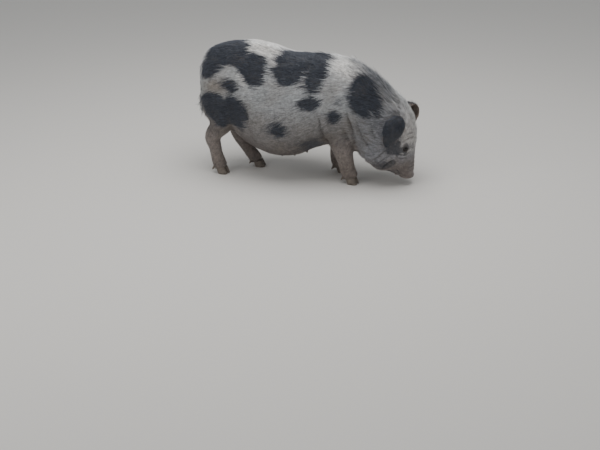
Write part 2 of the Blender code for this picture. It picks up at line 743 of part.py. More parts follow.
def tail_locks():
    """The switch: locks all round the end of the tail, hanging past its tip."""
    spine = through(TAIL, 6)
    made = []
    for height, bearing, length in SWITCH:
        row = min(spine, key=lambda near: abs(near[2] - height))
        angle = math.radians(bearing + 7)
        out = Vector((math.cos(angle), math.sin(angle), 0))
        root = Vector(row[:3]) + out * row[3] * 0.75
        rise, width, thickness = SWITCH_LOCK
        made.append(lock(root, out, Vector((-0.02, 0.05 * math.sin(angle), -1)).normalized(),
                         (length, rise, width, thickness), 0.0))
    return made


def painted(thing, kind):
    material = bpy.data.materials.new(thing.name + "_finish")
    material.use_nodes = True
    surface = material.node_tree.nodes["Principled BSDF"]
    surface.inputs["Base Color"].default_value = (*COLOURS[kind], 1)
    surface.inputs["Roughness"].default_value = 0.15 if kind == "eye" else 0.7
    thing.data.materials.clear()
    thing.data.materials.append(material)


def build_head(whole):
    neck_end = slab("head_space", NECK_TO[0], NECK_TO[1], 0.6)
    rough = crossed("head_rough", whole, slab("head_wide", Vector(NECK_TO[0]) - Vector(NECK_TO[1]) * 0.03,
                                              NECK_TO[1], 0.6))
    head = crossed("head", thinned(rough, 2500), neck_end)
    additions = [snout_disc()]
    cuts = [mouth_cut()]
    ears, eyes = {}, {}
    for side, word in ((-1, "right"), (1, "left")):
        centre, axis = eye_centre(head, side), eye_axis(side)
        additions.append(ball("lids", centre, EYE_RADIUS + LID_THICKNESS, axis))
        additions.append(ear_stub(side))
        cuts.append(lid_opening(centre, axis))
        cuts.append(ball("eye_space", centre, EYE_RADIUS + GAP, axis))
        cuts.append(nostril(side))
        eyes[word] = ball("eye_" + word, centre, EYE_RADIUS, axis)
        ear = ear_shell("ear", ear_rings(side))
        room = [grown(head, "head_room", GAP), grown(additions[-1], "stub_room", GAP)]
        ears[word] = combined("ear_" + word, ear, room, "DIFFERENCE")
    head = combined("head", head, additions, "UNION")
    head = combined("head", head, cuts, "DIFFERENCE")
    return largest(head), ears, eyes


def main():
    clear_scene()
    rough = flesh("rough")
    fine = blended(copied(rough, "fine"), HEAD_GRAIN, 7)
    body = blended(rough, BODY_GRAIN, 13)
    nodes = {}
    head, ears, eyes = build_head(fine)
    nodes["head"] = (head, "head")
    for word in ("right", "left"):
        nodes["ear_" + word] = (largest(ears[word]), "ear")
        nodes["eye_" + word] = (eyes[word], "eye")

    neck_way = Vector(NECK_FROM[1]).normalized()
    head_way = Vector(NECK_TO[1]).normalized()
    neck = crossed("neck_rough", copied(body, "neck_body"), slab("neck_wide", Vector(NECK_FROM[0])
                                                               - neck_way * 0.04, neck_way, 0.6))
    neck = thinned(neck, 1900)
    neck = crossed("neck", neck, slab("neck_space", Vector(NECK_FROM[0]) + neck_way * GAP, neck_way, 0.6))
    past = [slab("past_neck", Vector(NECK_TO[0]) - head_way * GAP, head_way, 0.6)]
    neck = combined("neck", neck, past + [leg_block(leg, GAP) for leg in LEGS], "DIFFERENCE")
    nodes["neck"] = (largest(neck), "neck")

    for leg in LEGS:
        part = crossed("leg_" + leg, copied(body, "leg_body"), leg_block(leg, 0.012))
        part = thinned(part, 640)
        part = crossed("leg_" + leg, part, leg_block(leg, 0.0))
        part = crossed("leg_" + leg, part, coronet(leg, 0.4, 0.0))
        hollows = []
        for side, word in ((-1, "a"), (1, "b")):
            rows = dewclaw_rows(leg, side)
            nodes[f"dewclaw_{leg}_{word}"] = (cord(f"dewclaw_{leg}_{word}", rows, 8, 1), "hoof")
            hollows.append(cord("dew_space", dewclaw_rows(leg, side, GAP), 8, 1))
            nodes[f"hoof_{leg}_{word}"] = (largest(claw(leg, side)), "hoof")
        part = combined("leg_" + leg, part, hollows, "DIFFERENCE")
        nodes["leg_" + leg] = (largest(part), "leg")

    torso = thinned(copied(body, "torso_body"), 4900)
    spaces = [leg_block(leg, GAP) for leg in LEGS]
    spaces.append(slab("past_torso", NECK_FROM[0], neck_way, 0.6))
    tail_way = Vector(TAIL_CUT[1]).normalized()
    stub = combined("tail_stub", tail_solid(), [slab("past_stub", TAIL_CUT[0], tail_way, 0.3)], "DIFFERENCE")
    room = [grown(torso, "torso_room", GAP), grown(stub, "stub_room", GAP)]
    torso = combined("torso", torso, [stub], "UNION")
    tail = combined("tail", tail_solid(), tail_locks(), "UNION")
    tail = combined("tail", tail, room, "DIFFERENCE")
    torso = combined("torso", torso, spaces, "DIFFERENCE")
    nodes["torso"] = (largest(torso), "torso")
    nodes["tail"] = (largest(tail), "tail")
    bpy.data.objects.remove(body)

    locks = crest({name: nodes[name][0] for name in ("head", "neck", "torso")})
    for name, tufts in locks.items():
        thing, kind = nodes[name]
        nodes[name] = (largest(combined(name, thing, tufts, "UNION")), kind)

    low, high = Vector((9, 9, 9)), Vector((-9, -9, -9))
    for thing, kind in nodes.values():
        for point in thing.data.vertices:
            low = Vector(map(min, low, point.co))
            high = Vector(map(max, high, point.co))
    sow = bpy.data.objects.new("sow", None)
    bpy.context.scene.collection.objects.link(sow)
    sow.location = (-(low.x + high.x) / 2, -(low.y + high.y) / 2, -low.z)
    for name, (thing, kind) in nodes.items():
        thing.name = name
        thing.parent = sow
        thing.data.shade_smooth()
        thing.data.set_sharp_from_angle(angle=math.radians(50))
        painted(thing, kind)


main()
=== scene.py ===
import math
import time

import bmesh
import bpy
import numpy as np
from mathutils import Matrix, Vector
from mathutils.bvhtree import BVHTree
from mathutils.kdtree import KDTree


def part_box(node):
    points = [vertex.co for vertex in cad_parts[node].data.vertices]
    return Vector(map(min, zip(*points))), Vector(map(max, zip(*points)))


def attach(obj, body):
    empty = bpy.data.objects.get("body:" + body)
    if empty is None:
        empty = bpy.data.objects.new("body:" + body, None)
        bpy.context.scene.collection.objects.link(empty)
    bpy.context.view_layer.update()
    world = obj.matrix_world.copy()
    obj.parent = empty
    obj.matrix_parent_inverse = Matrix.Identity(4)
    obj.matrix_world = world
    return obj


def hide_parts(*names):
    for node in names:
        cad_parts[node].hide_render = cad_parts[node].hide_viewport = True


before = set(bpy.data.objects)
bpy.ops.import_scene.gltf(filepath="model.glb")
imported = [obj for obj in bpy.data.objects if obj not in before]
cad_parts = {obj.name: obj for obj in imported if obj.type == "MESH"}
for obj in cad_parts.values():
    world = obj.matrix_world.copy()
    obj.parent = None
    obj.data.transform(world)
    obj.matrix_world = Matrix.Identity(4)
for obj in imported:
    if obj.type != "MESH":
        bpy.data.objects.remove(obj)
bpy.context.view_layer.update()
started = time.time()

rightSide, leftSide = -1, 1        # her right is towards -Y, the side the camera sees


def report(words):
    print(f"[sow] {time.time() - started:5.1f} s  {words}")


def hexColour(code, alpha=1.0):
    # sRGB hex to the linear values that the shader sockets take
    code = code.lstrip("#")
    values = [int(code[i:i + 2], 16) / 255 for i in (0, 2, 4)]
    linear = [v / 12.92 if v <= 0.04045 else ((v + 0.055) / 1.055) ** 2.4 for v in values]
    return (*linear, alpha)


def addNode(tree, kind, settings=None, inputs=None):
    # one node, with its settings, and with values or links on its inputs
    node = tree.nodes.new(kind)
    for name, value in (settings or {}).items():
        setattr(node, name, value)
    for name, value in (inputs or {}).items():
        socket = node.inputs[name]
        if isinstance(value, bpy.types.NodeSocket):
            tree.links.new(value, socket)
        else:
            socket.default_value = value
    return node


def newMaterial(name):
    material = bpy.data.materials.new(name)
    material.use_nodes = True
    material.node_tree.nodes.clear()
    return material, material.node_tree


def smoothStep(low, high, values):
    t = np.clip((np.asarray(values, float) - low) / (high - low), 0.0, 1.0)
    return t * t * (3 - 2 * t)


def unit(vectors):
    size = np.linalg.norm(vectors, axis=-1, keepdims=True)
    return vectors / np.maximum(size, 1e-9)


def waves(points, size, seed):
    # soft noise of about that size in metres, between -1 and 1 most of the time
    random = np.random.default_rng(seed)
    total = np.zeros(len(points))
    for _ in range(10):
        way = random.normal(size=points.shape[1])
        way /= np.linalg.norm(way)
        pitch = 2 * math.pi / (size * random.uniform(0.7, 1.5))
        total += np.sin(points @ way * pitch + random.uniform(0, 2 * math.pi))
    return total / 3.2


def linked(name, data):
    thing = bpy.data.objects.new(name, data)
    bpy.context.scene.collection.objects.link(thing)
    return thing


def flattened(thing):
    # the evaluated object as a plain mesh, in place of its modifiers
    graph = bpy.context.evaluated_depsgraph_get()
    live = thing.evaluated_get(graph)
    mesh = bpy.data.meshes.new_from_object(live, preserve_all_data_layers=True, depsgraph=graph)
    thing.modifiers.clear()
    old = thing.data
    thing.data = mesh
    if old.users == 0:
        bpy.data.meshes.remove(old)
    return thing


def voxelWelded(thing, grain):
    # one closed surface round all that overlaps, in cells of that size
    weld = thing.modifiers.new("weld", "REMESH")
    weld.mode = "VOXEL"
    weld.voxel_size = grain
    weld.use_smooth_shade = True
    return flattened(thing)


def camel(words):
    first, *others = words.replace("_", " ").split()
    return first + "".join(word.capitalize() for word in others)


def pieceFrom(bm, words, material, smooth):
    # a made mesh as a piece in the scene, with its faces turned outwards
    bmesh.ops.recalc_face_normals(bm, faces=bm.faces)
    mesh = bpy.data.meshes.new(words)
    bm.to_mesh(mesh)
    bm.free()
    mesh.polygons.foreach_set("use_smooth", np.full(len(mesh.polygons), smooth))
    mesh.update()
    mesh.materials.append(material)
    return linked(camel(words), mesh)


def vertexPlaces(mesh):
    places = np.empty(len(mesh.vertices) * 3)
    mesh.vertices.foreach_get("co", places)
    return places.reshape(-1, 3)


def vertexNormals(mesh):
    normals = np.empty(len(mesh.vertices) * 3)
    mesh.vertex_normals.foreach_get("vector", normals)
    return normals.reshape(-1, 3)


def edgePairs(mesh):
    pairs = np.empty(len(mesh.edges) * 2, np.int32)
    mesh.edges.foreach_get("vertices", pairs)
    return pairs.reshape(-1, 2)


def setPlaces(mesh, places):
    mesh.vertices.foreach_set("co", places.ravel())
    mesh.update()


def relaxed(values, pairs, share, rounds):
    # every vertex goes its share of the way to the mean of its neighbours
    values = values.copy()
    if values.ndim == 1:
        return relaxed(values[:, None], pairs, share, rounds)[:, 0]
    count = len(values)
    share = np.broadcast_to(np.asarray(share, float), (count,))[:, None]
    first, second = pairs[:, 0], pairs[:, 1]
    near = np.maximum(np.bincount(pairs.ravel(), minlength=count), 1)[:, None]
    for _ in range(rounds):
        total = np.empty_like(values)
        for k in range(values.shape[1]):
            total[:, k] = np.bincount(first, values[second, k], count)
            total[:, k] += np.bincount(second, values[first, k], count)
        values += share * (total / near - values)
    return values


def eased(row):
    # each value inside goes half of the way to the mean of its two neighbours
    row[1:-1] = (row[:-2] + 2 * row[1:-1] + row[2:]) / 4


def reaches(path):
    # how far along a path each of its points is
    return np.concatenate([[0], np.cumsum(np.linalg.norm(np.diff(path, axis=0), axis=1))])


body = {
    "bendFrom": 0.3041,             # x where her midline starts to swing to her right
    "bendOver": 0.10,
    "headTurn": math.radians(-9),
    # a line through the middle of the flesh, which the girth is measured round
    "axisX": (-0.45, -0.30, -0.10, 0.10, 0.20, 0.30, 0.40, 0.48),
    "axisZ": (0.38, 0.385, 0.34, 0.35, 0.345, 0.30, 0.22, 0.13),
    "girthScale": 0.22,             # metres of girth for each radian round that line
}


def midline(x):
    past = np.maximum(x - body["bendFrom"], 0)
    slope, over = math.tan(body["headTurn"]), body["bendOver"]
    return np.where(past < over, slope * past * past / (2 * over), slope * (past - over / 2))


def girth(places):
    # how far round the body a point lies from the top of the back, in metres, her right side negative
    across = places[:, 1] - midline(places[:, 0])
    above = places[:, 2] - np.interp(places[:, 0], body["axisX"], body["axisZ"])
    return body["girthScale"] * np.arctan2(across, above)


fleshNodes = [
    "torso", "neck", "head", "ear_right", "ear_left", "tail",
    "leg_hind_right", "leg_hind_left", "leg_fore_right", "leg_fore_left",
]

skinSizes = {
    "grain": 0.0024,                 # cell of the weld
    "weldOverlap": 0.0006,           # how much each solid is swollen so that they all meet
    "triangles": 188000,
    # the coat's depth, which the skin lies inside the solids by
    "depth": {
        "torso": 0.0038, "neck": 0.0040, "head": 0.0012, "tail": 0.0010,
        "ear_right": 0.0006, "ear_left": 0.0006,
        "leg_hind_right": 0.0016, "leg_hind_left": 0.0016,
        "leg_fore_right": 0.0016, "leg_fore_left": 0.0016,
    },
    "footShrink": 0.20,              # share by which a foot is rounded in above its coronets
    "footDrop": 0.003,
    "crestHalf": 0.052,              # how far each side of the back's line the ridge of locks can reach
    "crestStep": 0.005,
    "coreDepth": 0.09,               # how far inside the back the line lies that plain flesh is measured from
    "ridgeReach": 0.14,
    "faceShare": 0.25,               # how readily the face is thinned out, against 1 elsewhere
}

# her back's own line over the ridge, x and z, which the bristles stand along
backLine = (
    (0.120, 0.532), (0.208, 0.516), (0.266, 0.483), (0.324, 0.439),
    (0.378, 0.395), (0.428, 0.346), (0.461, 0.295), (0.474, 0.240),
)


def alongBack():
    # stations along the back's line: place, the way on, the way out and the way across
    line = np.array(backLine)
    reach = reaches(line)
    at = np.arange(0, reach[-1], skinSizes["crestStep"])
    x, z = np.interp(at, reach, line[:, 0]), np.interp(at, reach, line[:, 1])
    for _ in range(12):
        eased(x)
        eased(z)
    place = np.stack([x, midline(x), z], 1)
    on = unit(np.gradient(place, axis=0))
    across = unit(np.cross(np.array([0, 0, 1.0]), on))
    out = unit(np.cross(on, across))
    return place, on, out, across


def coreRadii(surface):
    # how far the plain flesh reaches from a line inside the back, under the ridge of locks
    place, on, out, across = alongBack()
    angles = np.radians(np.arange(-34, 35, 3))
    radii = np.zeros((len(place), len(angles)))
    for i in range(len(place)):
        start = place[i] - skinSizes["coreDepth"] * out[i]
        for k, angle in enumerate(angles):
            way = Vector(math.cos(angle) * out[i] + math.sin(angle) * across[i])
            spot, travelled = Vector(start), 0.0
            for _ in range(8):
                hit, normal, _, gap = surface.ray_cast(spot, way)
                if hit is None:
                    break
                travelled += gap + 2e-5
                spot = hit + way * 2e-5
                if normal.dot(way) < 0:
                    continue
                beyond = surface.ray_cast(spot, way)
                if beyond[0] is None or beyond[1].dot(way) > 0 or beyond[3] > 0.0015:
                    break
            radii[i, k] = travelled
    padded = np.pad(radii, ((2, 2), (1, 1)), mode="edge")
    low = np.min([padded[a:a + len(place), b:b + len(angles)] for a in range(5) for b in range(3)], axis=0)
    for _ in range(6):
        eased(low)
        eased(low.T)
    return place, on, out, across, angles, low


def withoutRidge(places, core):
    # sinks the vertices of the ridge's locks just under the plain flesh
    place, on, out, across, angles, radii = core
    start = place - skinSizes["coreDepth"] * out
    away = places[:, None, :] - start[None]
    drift = np.abs(np.einsum("ijk,jk->ij", away, on))
    height = np.einsum("ijk,jk->ij", away, out)
    drift[height < 0.03] = 1e9
    best = drift.argmin(1)
    rows = np.arange(len(places))
    up = height[rows, best]
    side = np.einsum("ik,ik->i", away[rows, best], across[best])
    angle = np.arctan2(side, np.maximum(up, 1e-6))
    size = np.hypot(side, up)
    near = (drift[rows, best] < 0.0045) & (np.abs(side) < skinSizes["crestHalf"])
    near = near & (np.abs(angle) < angles[-1]) & (size < skinSizes["ridgeReach"])
    column = np.clip((angle - angles[0]) / (angles[1] - angles[0]), 0, len(angles) - 1.001)
    k = column.astype(int)
    t = column - k
    plain = radii[best, k] * (1 - t) + radii[best, k + 1] * t
    lock = near & (size > plain + skinSizes["weldOverlap"] + 0.0007)
    scale = np.where(lock, (plain - 0.0012) / size, 1.0)
    return np.where(lock[:, None], start[best] + away[rows, best] * scale[:, None], places)


def weldedFlesh():
    surface = bmesh.new()
    for name in ("torso", "neck", "head"):
        surface.from_mesh(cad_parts[name].data)
    core = coreRadii(BVHTree.FromBMesh(surface))
    surface.free()
    joined = bmesh.new()
    for name in fleshNodes:
        part = bmesh.new()
        part.from_mesh(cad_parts[name].data)
        bmesh.ops.remove_doubles(part, verts=part.verts, dist=1e-5)
        part.normal_update()
        for v in part.verts:
            v.co += v.normal * skinSizes["weldOverlap"]
        mesh = bpy.data.meshes.new("part")
        part.to_mesh(mesh)
        part.free()
        if name in ("torso", "neck", "head"):
            setPlaces(mesh, withoutRidge(vertexPlaces(mesh), core))
        joined.from_mesh(mesh)
        bpy.data.meshes.remove(mesh)
    mesh = bpy.data.meshes.new("skin")
    joined.to_mesh(mesh)
    joined.free()
    return voxelWelded(linked("skin", mesh), skinSizes["grain"])


# which solid each point of the skin came from
nodeTree = KDTree(sum(len(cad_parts[n].data.vertices) for n in fleshNodes))
nodeOf = []
for number, name in enumerate(fleshNodes):
    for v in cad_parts[name].data.vertices:
        nodeTree.insert(v.co, len(nodeOf))
        nodeOf.append(number)
nodeTree.balance()
nodeOf = np.array(nodeOf)


def nodeNumbers(places):
    return nodeOf[np.array([nodeTree.find(p)[1] for p in places])]


def onSkin(path, side, tree):
    # a path of x, distance from the midline and height, rounded off and laid on the skin
    path = np.array(path, float)
    path[:, 1] = path[:, 1] * side + midline(path[:, 0])
    reach = reaches(path)
    at = np.linspace(0, reach[-1], max(3, int(reach[-1] / 0.004)))
    fine = np.stack([np.interp(at, reach, path[:, k]) for k in range(3)], 1)
    for _ in range(3):
        eased(fine)
        fine = np.array([tree.find(p)[0] for p in fine])
    for _ in range(2):
        eased(fine)
    return fine


def creased(places, normals, path, depth, width, lip=0.35):
    # presses a crease along a path into the skin, with a soft lip on both sides
    reach = reaches(path)
    margin = width * 4
    near = np.nonzero(np.all((places > path.min(0) - margin) & (places < path.max(0) + margin), axis=1))[0]
    spots = places[near]
    gap = np.full(len(spots), 1e9)
    ends = np.zeros(len(spots))
    for i in range(len(path) - 1):
        step = path[i + 1] - path[i]
        t = np.clip((spots - path[i]) @ step / max(step @ step, 1e-12), 0, 1)
        away = np.linalg.norm(spots - path[i] - t[:, None] * step, axis=1)
        closer = away < gap
        gap[closer] = away[closer]
        done = (reach[i] + t * np.linalg.norm(step)) / reach[-1]
        ends[closer] = np.sin(np.pi * np.clip(done[closer] * 0.92 + 0.04, 0, 1)) ** 0.7
    shape = -np.exp(-(gap / width) ** 2) + lip * np.exp(-((gap - 2.0 * width) / width) ** 2)
    places = places.copy()
    places[near] += normals[near] * (shape * depth * ends)[:, None]
    return places


def muzzleArc(z, x, half, front):
    # a wrinkle over the bridge of the muzzle, from one side to the other
    turns = np.radians(range(-80, 81, 20))
    return [(x + front * math.cos(a), half * math.sin(a), z + 0.006 * math.cos(a)) for a in turns]


# creases in the hide: how deep and how wide each is, then its path as x, distance from the midline and height
folds = (
    # behind the mouth's corner, two
    (0.0044, 0.0046, [(0.402, 0.096, 0.138), (0.380, 0.110, 0.131), (0.360, 0.113, 0.113), (0.352, 0.100, 0.094)]),
    (0.0026, 0.0052, [(0.392, 0.108, 0.160), (0.362, 0.124, 0.146), (0.338, 0.122, 0.118)]),
    # between shoulder and neck
    (0.0075, 0.0080, [
        (0.205, 0.155, 0.335), (0.218, 0.150, 0.300), (0.230, 0.146, 0.262),
        (0.237, 0.138, 0.225), (0.236, 0.120, 0.190),
    ]),
    # behind the elbow
    (0.0058, 0.0075, [
        (0.090, 0.185, 0.340), (0.097, 0.179, 0.305), (0.103, 0.168, 0.262),
        (0.111, 0.140, 0.218), (0.127, 0.112, 0.185),
    ]),
    # flank
    (0.0040, 0.0090, [(-0.212, 0.188, 0.345), (-0.202, 0.193, 0.300), (-0.193, 0.188, 0.240), (-0.182, 0.170, 0.190)]),
    # edge of the jowl
    (0.0042, 0.0062, [
        (0.246, 0.148, 0.300), (0.258, 0.146, 0.262), (0.276, 0.142, 0.225),
        (0.300, 0.140, 0.188), (0.322, 0.130, 0.158),
    ]),
    # cheek, two
    (0.0030, 0.0064, [(0.385, 0.122, 0.190), (0.362, 0.128, 0.176), (0.337, 0.131, 0.150), (0.310, 0.120, 0.128)]),
    (0.0030, 0.0046, [(0.300, 0.130, 0.300), (0.310, 0.138, 0.262), (0.326, 0.140, 0.226)]),
    # under the eye, two
    (0.0038, 0.0040, [(0.462, 0.040, 0.158), (0.446, 0.058, 0.150), (0.425, 0.082, 0.152), (0.405, 0.100, 0.168)]),
    (0.0026, 0.0034, [(0.455, 0.048, 0.143), (0.436, 0.068, 0.136), (0.412, 0.092, 0.142)]),
    # brow, two
    (0.0030, 0.0040, [(0.468, 0.018, 0.212), (0.462, 0.040, 0.219), (0.446, 0.060, 0.218), (0.424, 0.082, 0.205)]),
    (0.0022, 0.0034, [(0.470, 0.010, 0.232), (0.462, 0.036, 0.240), (0.446, 0.058, 0.238)]),
    # forehead
    (0.0013, 0.0030, [(0.474, 0.011, 0.190), (0.476, 0.013, 0.225), (0.470, 0.016, 0.262)]),
    # mouth and lip
    (0.0036, 0.0030, [
        (0.4055, 0.031, 0.040), (0.4045, 0.037, 0.056), (0.396, 0.048, 0.074),
        (0.382, 0.060, 0.088), (0.365, 0.072, 0.097),
    ]),
    (0.0026, 0.0036, [(0.420, 0.052, 0.062), (0.412, 0.062, 0.080), (0.400, 0.074, 0.098)]),
)

# creases that cross the midline, so each is pressed in once
crossFolds = (
    # over the muzzle
    (0.0020, 0.0034, muzzleArc(0.0660, 0.436, 0.047, 0.036)),
    (0.0017, 0.0036, muzzleArc(0.0800, 0.436, 0.052, 0.036)),
    (0.0014, 0.0038, muzzleArc(0.0960, 0.434, 0.060, 0.038)),
    (0.0011, 0.0040, muzzleArc(0.1150, 0.432, 0.068, 0.040)),
    # under the throat
    (0.0040, 0.0070, [
        (0.290, 0.115, 0.160), (0.282, 0.080, 0.125), (0.280, 0.0, 0.112),
        (0.282, -0.080, 0.125), (0.290, -0.115, 0.160),
    ]),
    (0.0030, 0.0060, [
        (0.250, 0.120, 0.190), (0.245, 0.080, 0.150), (0.244, 0.0, 0.138),
        (0.245, -0.080, 0.150), (0.250, -0.120, 0.190),
    ]),
)


eye = {
    "look": (0.60, 0.79, 0.10),      # forward, outward, up
    "radius": 0.0113,
    "cornea": 0.0009,                # how far the clear front bulges
    "iris": 0.80, "pupil": 0.40,     # radians from the axis
    "openAcross": math.radians(47), "openUp": math.radians(27), "openDown": math.radians(24),
    "lidRadius": 0.0128, "foldRadius": 0.0147,
    "slant": math.radians(18),       # the inner corner sits lower
    "lidEdge": math.radians(96),     # how far round from the axis the lids reach, under the hide
    "lidRim": "#1f1c1b", "lidOut": "#66605d",
    "lashes": 30, "lashLength": 0.011, "lashWidth": 0.00028,
    "bowl": 0.0104,                  # distance from the centre that the hide is pressed down to
    "bowlEdge": (0.0150, 0.0235),    # distances over which that ends
}


def eyeCentre(word):
    low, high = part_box("eye_" + word)
    return (low + high) / 2


def eyeFrame(side):
    # the ways that the eye looks, along its lids and up across them
    turned = Matrix.Rotation(body["headTurn"], 3, "Z")
    ahead, out, up = eye["look"]
    axis = (turned @ Vector((ahead, out * side, up))).normalized()
    front = turned @ Vector((0, 0, 1))
    level = axis.cross(front).normalized() * side          # towards the muzzle's front along the lids
    rise = level.cross(axis).normalized() * side
    level = Matrix.Rotation(-eye["slant"] * side, 3, axis) @ level
    rise = Matrix.Rotation(-eye["slant"] * side, 3, axis) @ rise
    return axis, level, rise


def seated(places, centre, axis):
    # presses the hide round an eye down into a shallow bowl, which the lids rise from
    away = places - centre
    reach = np.maximum(np.linalg.norm(away, axis=1), 1e-9)
    share = (1 - smoothStep(*eye["bowlEdge"], reach)) * smoothStep(-0.15, 0.25, away @ axis / reach)
    wanted = np.minimum(reach, eye["bowl"])
    return centre + away * (1 + (wanted - reach) * share / reach)[:, None]


# two rows of teats under the belly, drawn further out where the solids have them
teats = {"pairs": 6, "first": -0.261, "step": 0.055, "off": 0.050, "height": 0.0085, "radius": 0.0056}
teatSpots = []


def withTeats(places, normals, trunk):
    under = trunk & (normals[:, 2] < -0.6)
    for k in range(teats["pairs"]):
        for side in (rightSide, leftSide):
            x = teats["first"] + k * teats["step"]
            gap = np.hypot(places[:, 0] - x, places[:, 1] - midline(places[:, 0]) - teats["off"] * side)
            root = int(np.argmin(np.where(under, gap, 9.0)))
            out = unit((normals[root] + np.array([0, 0.2 * side, -0.6]))[None, :])[0]
            away = np.linalg.norm(places - places[root], axis=1)
            rise = teats["height"] * np.exp(-(away / teats["radius"]) ** 2.6)
            places = places + out * rise[:, None]
            teatSpots.append(places[root] - out * teats["height"] * 0.4)
    return places


def buildSkin():
    skin = weldedFlesh()
    mesh = skin.data
    places = vertexPlaces(mesh)
    pairs = edgePairs(mesh)
    report(f"flesh welded, {len(places)} points")
    number = nodeNumbers(places)
    leg = np.char.startswith(np.array(fleshNodes), "leg")[number]
    places = relaxed(places, pairs, 0.5, 3)

    # the old place of the ridge is evened out
    gap = np.full(len(places), 1e9)
    for station in alongBack()[0]:
        gap = np.minimum(gap, np.linalg.norm(places - station, axis=1))
    places = relaxed(places, pairs, 0.9 * (1 - smoothStep(0.045, 0.066, gap)), 30)
    setPlaces(mesh, places)

    # the skin goes in by the coat's depth, less near the claws
    depth = np.array([skinSizes["depth"][n] for n in fleshNodes])[number]
    low = 1 - smoothStep(0.03, 0.06, places[:, 2])
    depth = np.where(leg, depth * (1 - low), depth) + skinSizes["weldOverlap"]
    depth = relaxed(depth, pairs, 0.9, 8)
    places = places - vertexNormals(mesh) * depth[:, None]
    for word, side in (("right", rightSide), ("left", leftSide)):
        places = seated(places, np.array(eyeCentre(word)), np.array(eyeFrame(side)[0]))
    for k, name in enumerate(fleshNodes):
        if name.startswith("leg"):
            foot = (number == k) & (places[:, 2] < 0.06)
            middle = (places[foot].max(0) + places[foot].min(0)) / 2
            end = 1 - smoothStep(0.028, 0.048, places[foot, 2])
            places[foot, :2] += (middle[:2] - places[foot, :2]) * (skinSizes["footShrink"] * end)[:, None]
            places[foot, 2] -= skinSizes["footDrop"] * end
    setPlaces(mesh, places)

    tree = KDTree(len(places))
    for k, place in enumerate(places):
        tree.insert(place, k)
    tree.balance()
    for depth, width, path in folds:
        for side in (rightSide, leftSide):
            places = creased(places, vertexNormals(mesh), onSkin(path, side, tree), depth, width)
    for depth, width, path in crossFolds:
        places = creased(places, vertexNormals(mesh), onSkin(path, 1, tree), depth, width)
    places = withTeats(places, vertexNormals(mesh), number == fleshNodes.index("torso"))
    setPlaces(mesh, places)

    # thinned to its count of faces, least on the face
    group = skin.vertex_groups.new(name="thin")
    head = np.isin(number, [fleshNodes.index(n) for n in ("head", "ear_right", "ear_left")])
    weight = np.where(head & (places[:, 2] < 0.30), skinSizes["faceShare"], 1.0)
    for value in (skinSizes["faceShare"], 1.0):
        group.add(np.nonzero(weight == value)[0].tolist(), value, "REPLACE")
    thin = skin.modifiers.new("thin", "DECIMATE")
    thin.ratio = skinSizes["triangles"] / (2 * len(mesh.polygons))
    thin.vertex_group = "thin"
    thin.vertex_group_factor = 1.0
    skin.modifiers.new("triangles", "TRIANGULATE")
    flattened(skin)
    skin.vertex_groups.clear()
    report(f"skin shaped, {len(skin.data.polygons)} faces")
    return skin


skin = buildSkin()
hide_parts(*fleshNodes)


# patches of black hide, as x and girth of the centre, then the radii the same way, all in metres
blackPatches = (
    # her right side, as the photo has them
    (-0.325, -0.070, 0.098, 0.115), (-0.385, -0.170, 0.060, 0.085),      # rump
    (-0.186, -0.178, 0.064, 0.086), (-0.245, -0.145, 0.040, 0.055),      # behind the loin
    (-0.287, -0.295, 0.042, 0.036),                                      # spot on the ham
    (-0.375, -0.420, 0.062, 0.088), (-0.262, -0.425, 0.058, 0.090), (-0.320, -0.450, 0.090, 0.080),   # thigh
    (-0.040, -0.130, 0.068, 0.108), (0.020, -0.030, 0.115, 0.075),       # middle of the back
    (0.080, -0.130, 0.044, 0.066), (0.068, -0.205, 0.038, 0.062), (0.012, -0.100, 0.056, 0.050),
    (0.057, -0.313, 0.044, 0.038),                                       # flank spot
    (0.159, -0.385, 0.026, 0.040), (-0.064, -0.424, 0.034, 0.024),       # above the elbow, and on the belly
    (0.280, -0.195, 0.068, 0.102), (0.258, -0.280, 0.046, 0.066), (0.284, -0.120, 0.040, 0.054),        # neck
    # her left side, which the photo hides
    (-0.355, 0.120, 0.072, 0.085), (-0.395, 0.190, 0.045, 0.070),        # rump
    (-0.200, 0.235, 0.058, 0.060), (-0.160, 0.185, 0.034, 0.050),        # loin
    (0.015, 0.130, 0.072, 0.072), (0.066, 0.175, 0.046, 0.060), (-0.035, 0.170, 0.030, 0.040),     # middle of the back
    (-0.080, 0.320, 0.042, 0.034), (-0.052, 0.345, 0.030, 0.032), (0.130, 0.330, 0.034, 0.050),    # flank and shoulder
    (0.270, 0.190, 0.060, 0.110), (0.250, 0.275, 0.036, 0.040),          # neck
    (-0.325, 0.430, 0.066, 0.085), (-0.262, 0.470, 0.052, 0.075), (-0.010, 0.455, 0.038, 0.026),   # thigh and belly
)

# how broad the waves in a patch's edge are and how far they carry it, in metres
patchEdge = {"broad": 0.070, "broadBy": 0.006, "fine": 0.022, "fineBy": 0.0032}

# places where dark hairs are mixed in: the same four sizes, then the share of dark hairs
mixedPatches = (
    (0.173, -0.305, 0.020, 0.018, 0.60), (-0.064, -0.424, 0.060, 0.046, 0.55), (0.060, -0.548, 0.064, 0.066, 0.95),
    (-0.141, -0.050, 0.014, 0.009, 0.50), (-0.260, -0.290, 0.050, 0.040, 0.18),
    (0.262, -0.050, 0.078, 0.115, 0.46), (0.330, -0.060, 0.060, 0.110, 0.34), (0.270, 0.070, 0.085, 0.085, 0.46),
    (0.340, -0.280, 0.070, 0.130, 0.34), (0.340, 0.280, 0.070, 0.130, 0.34),
)

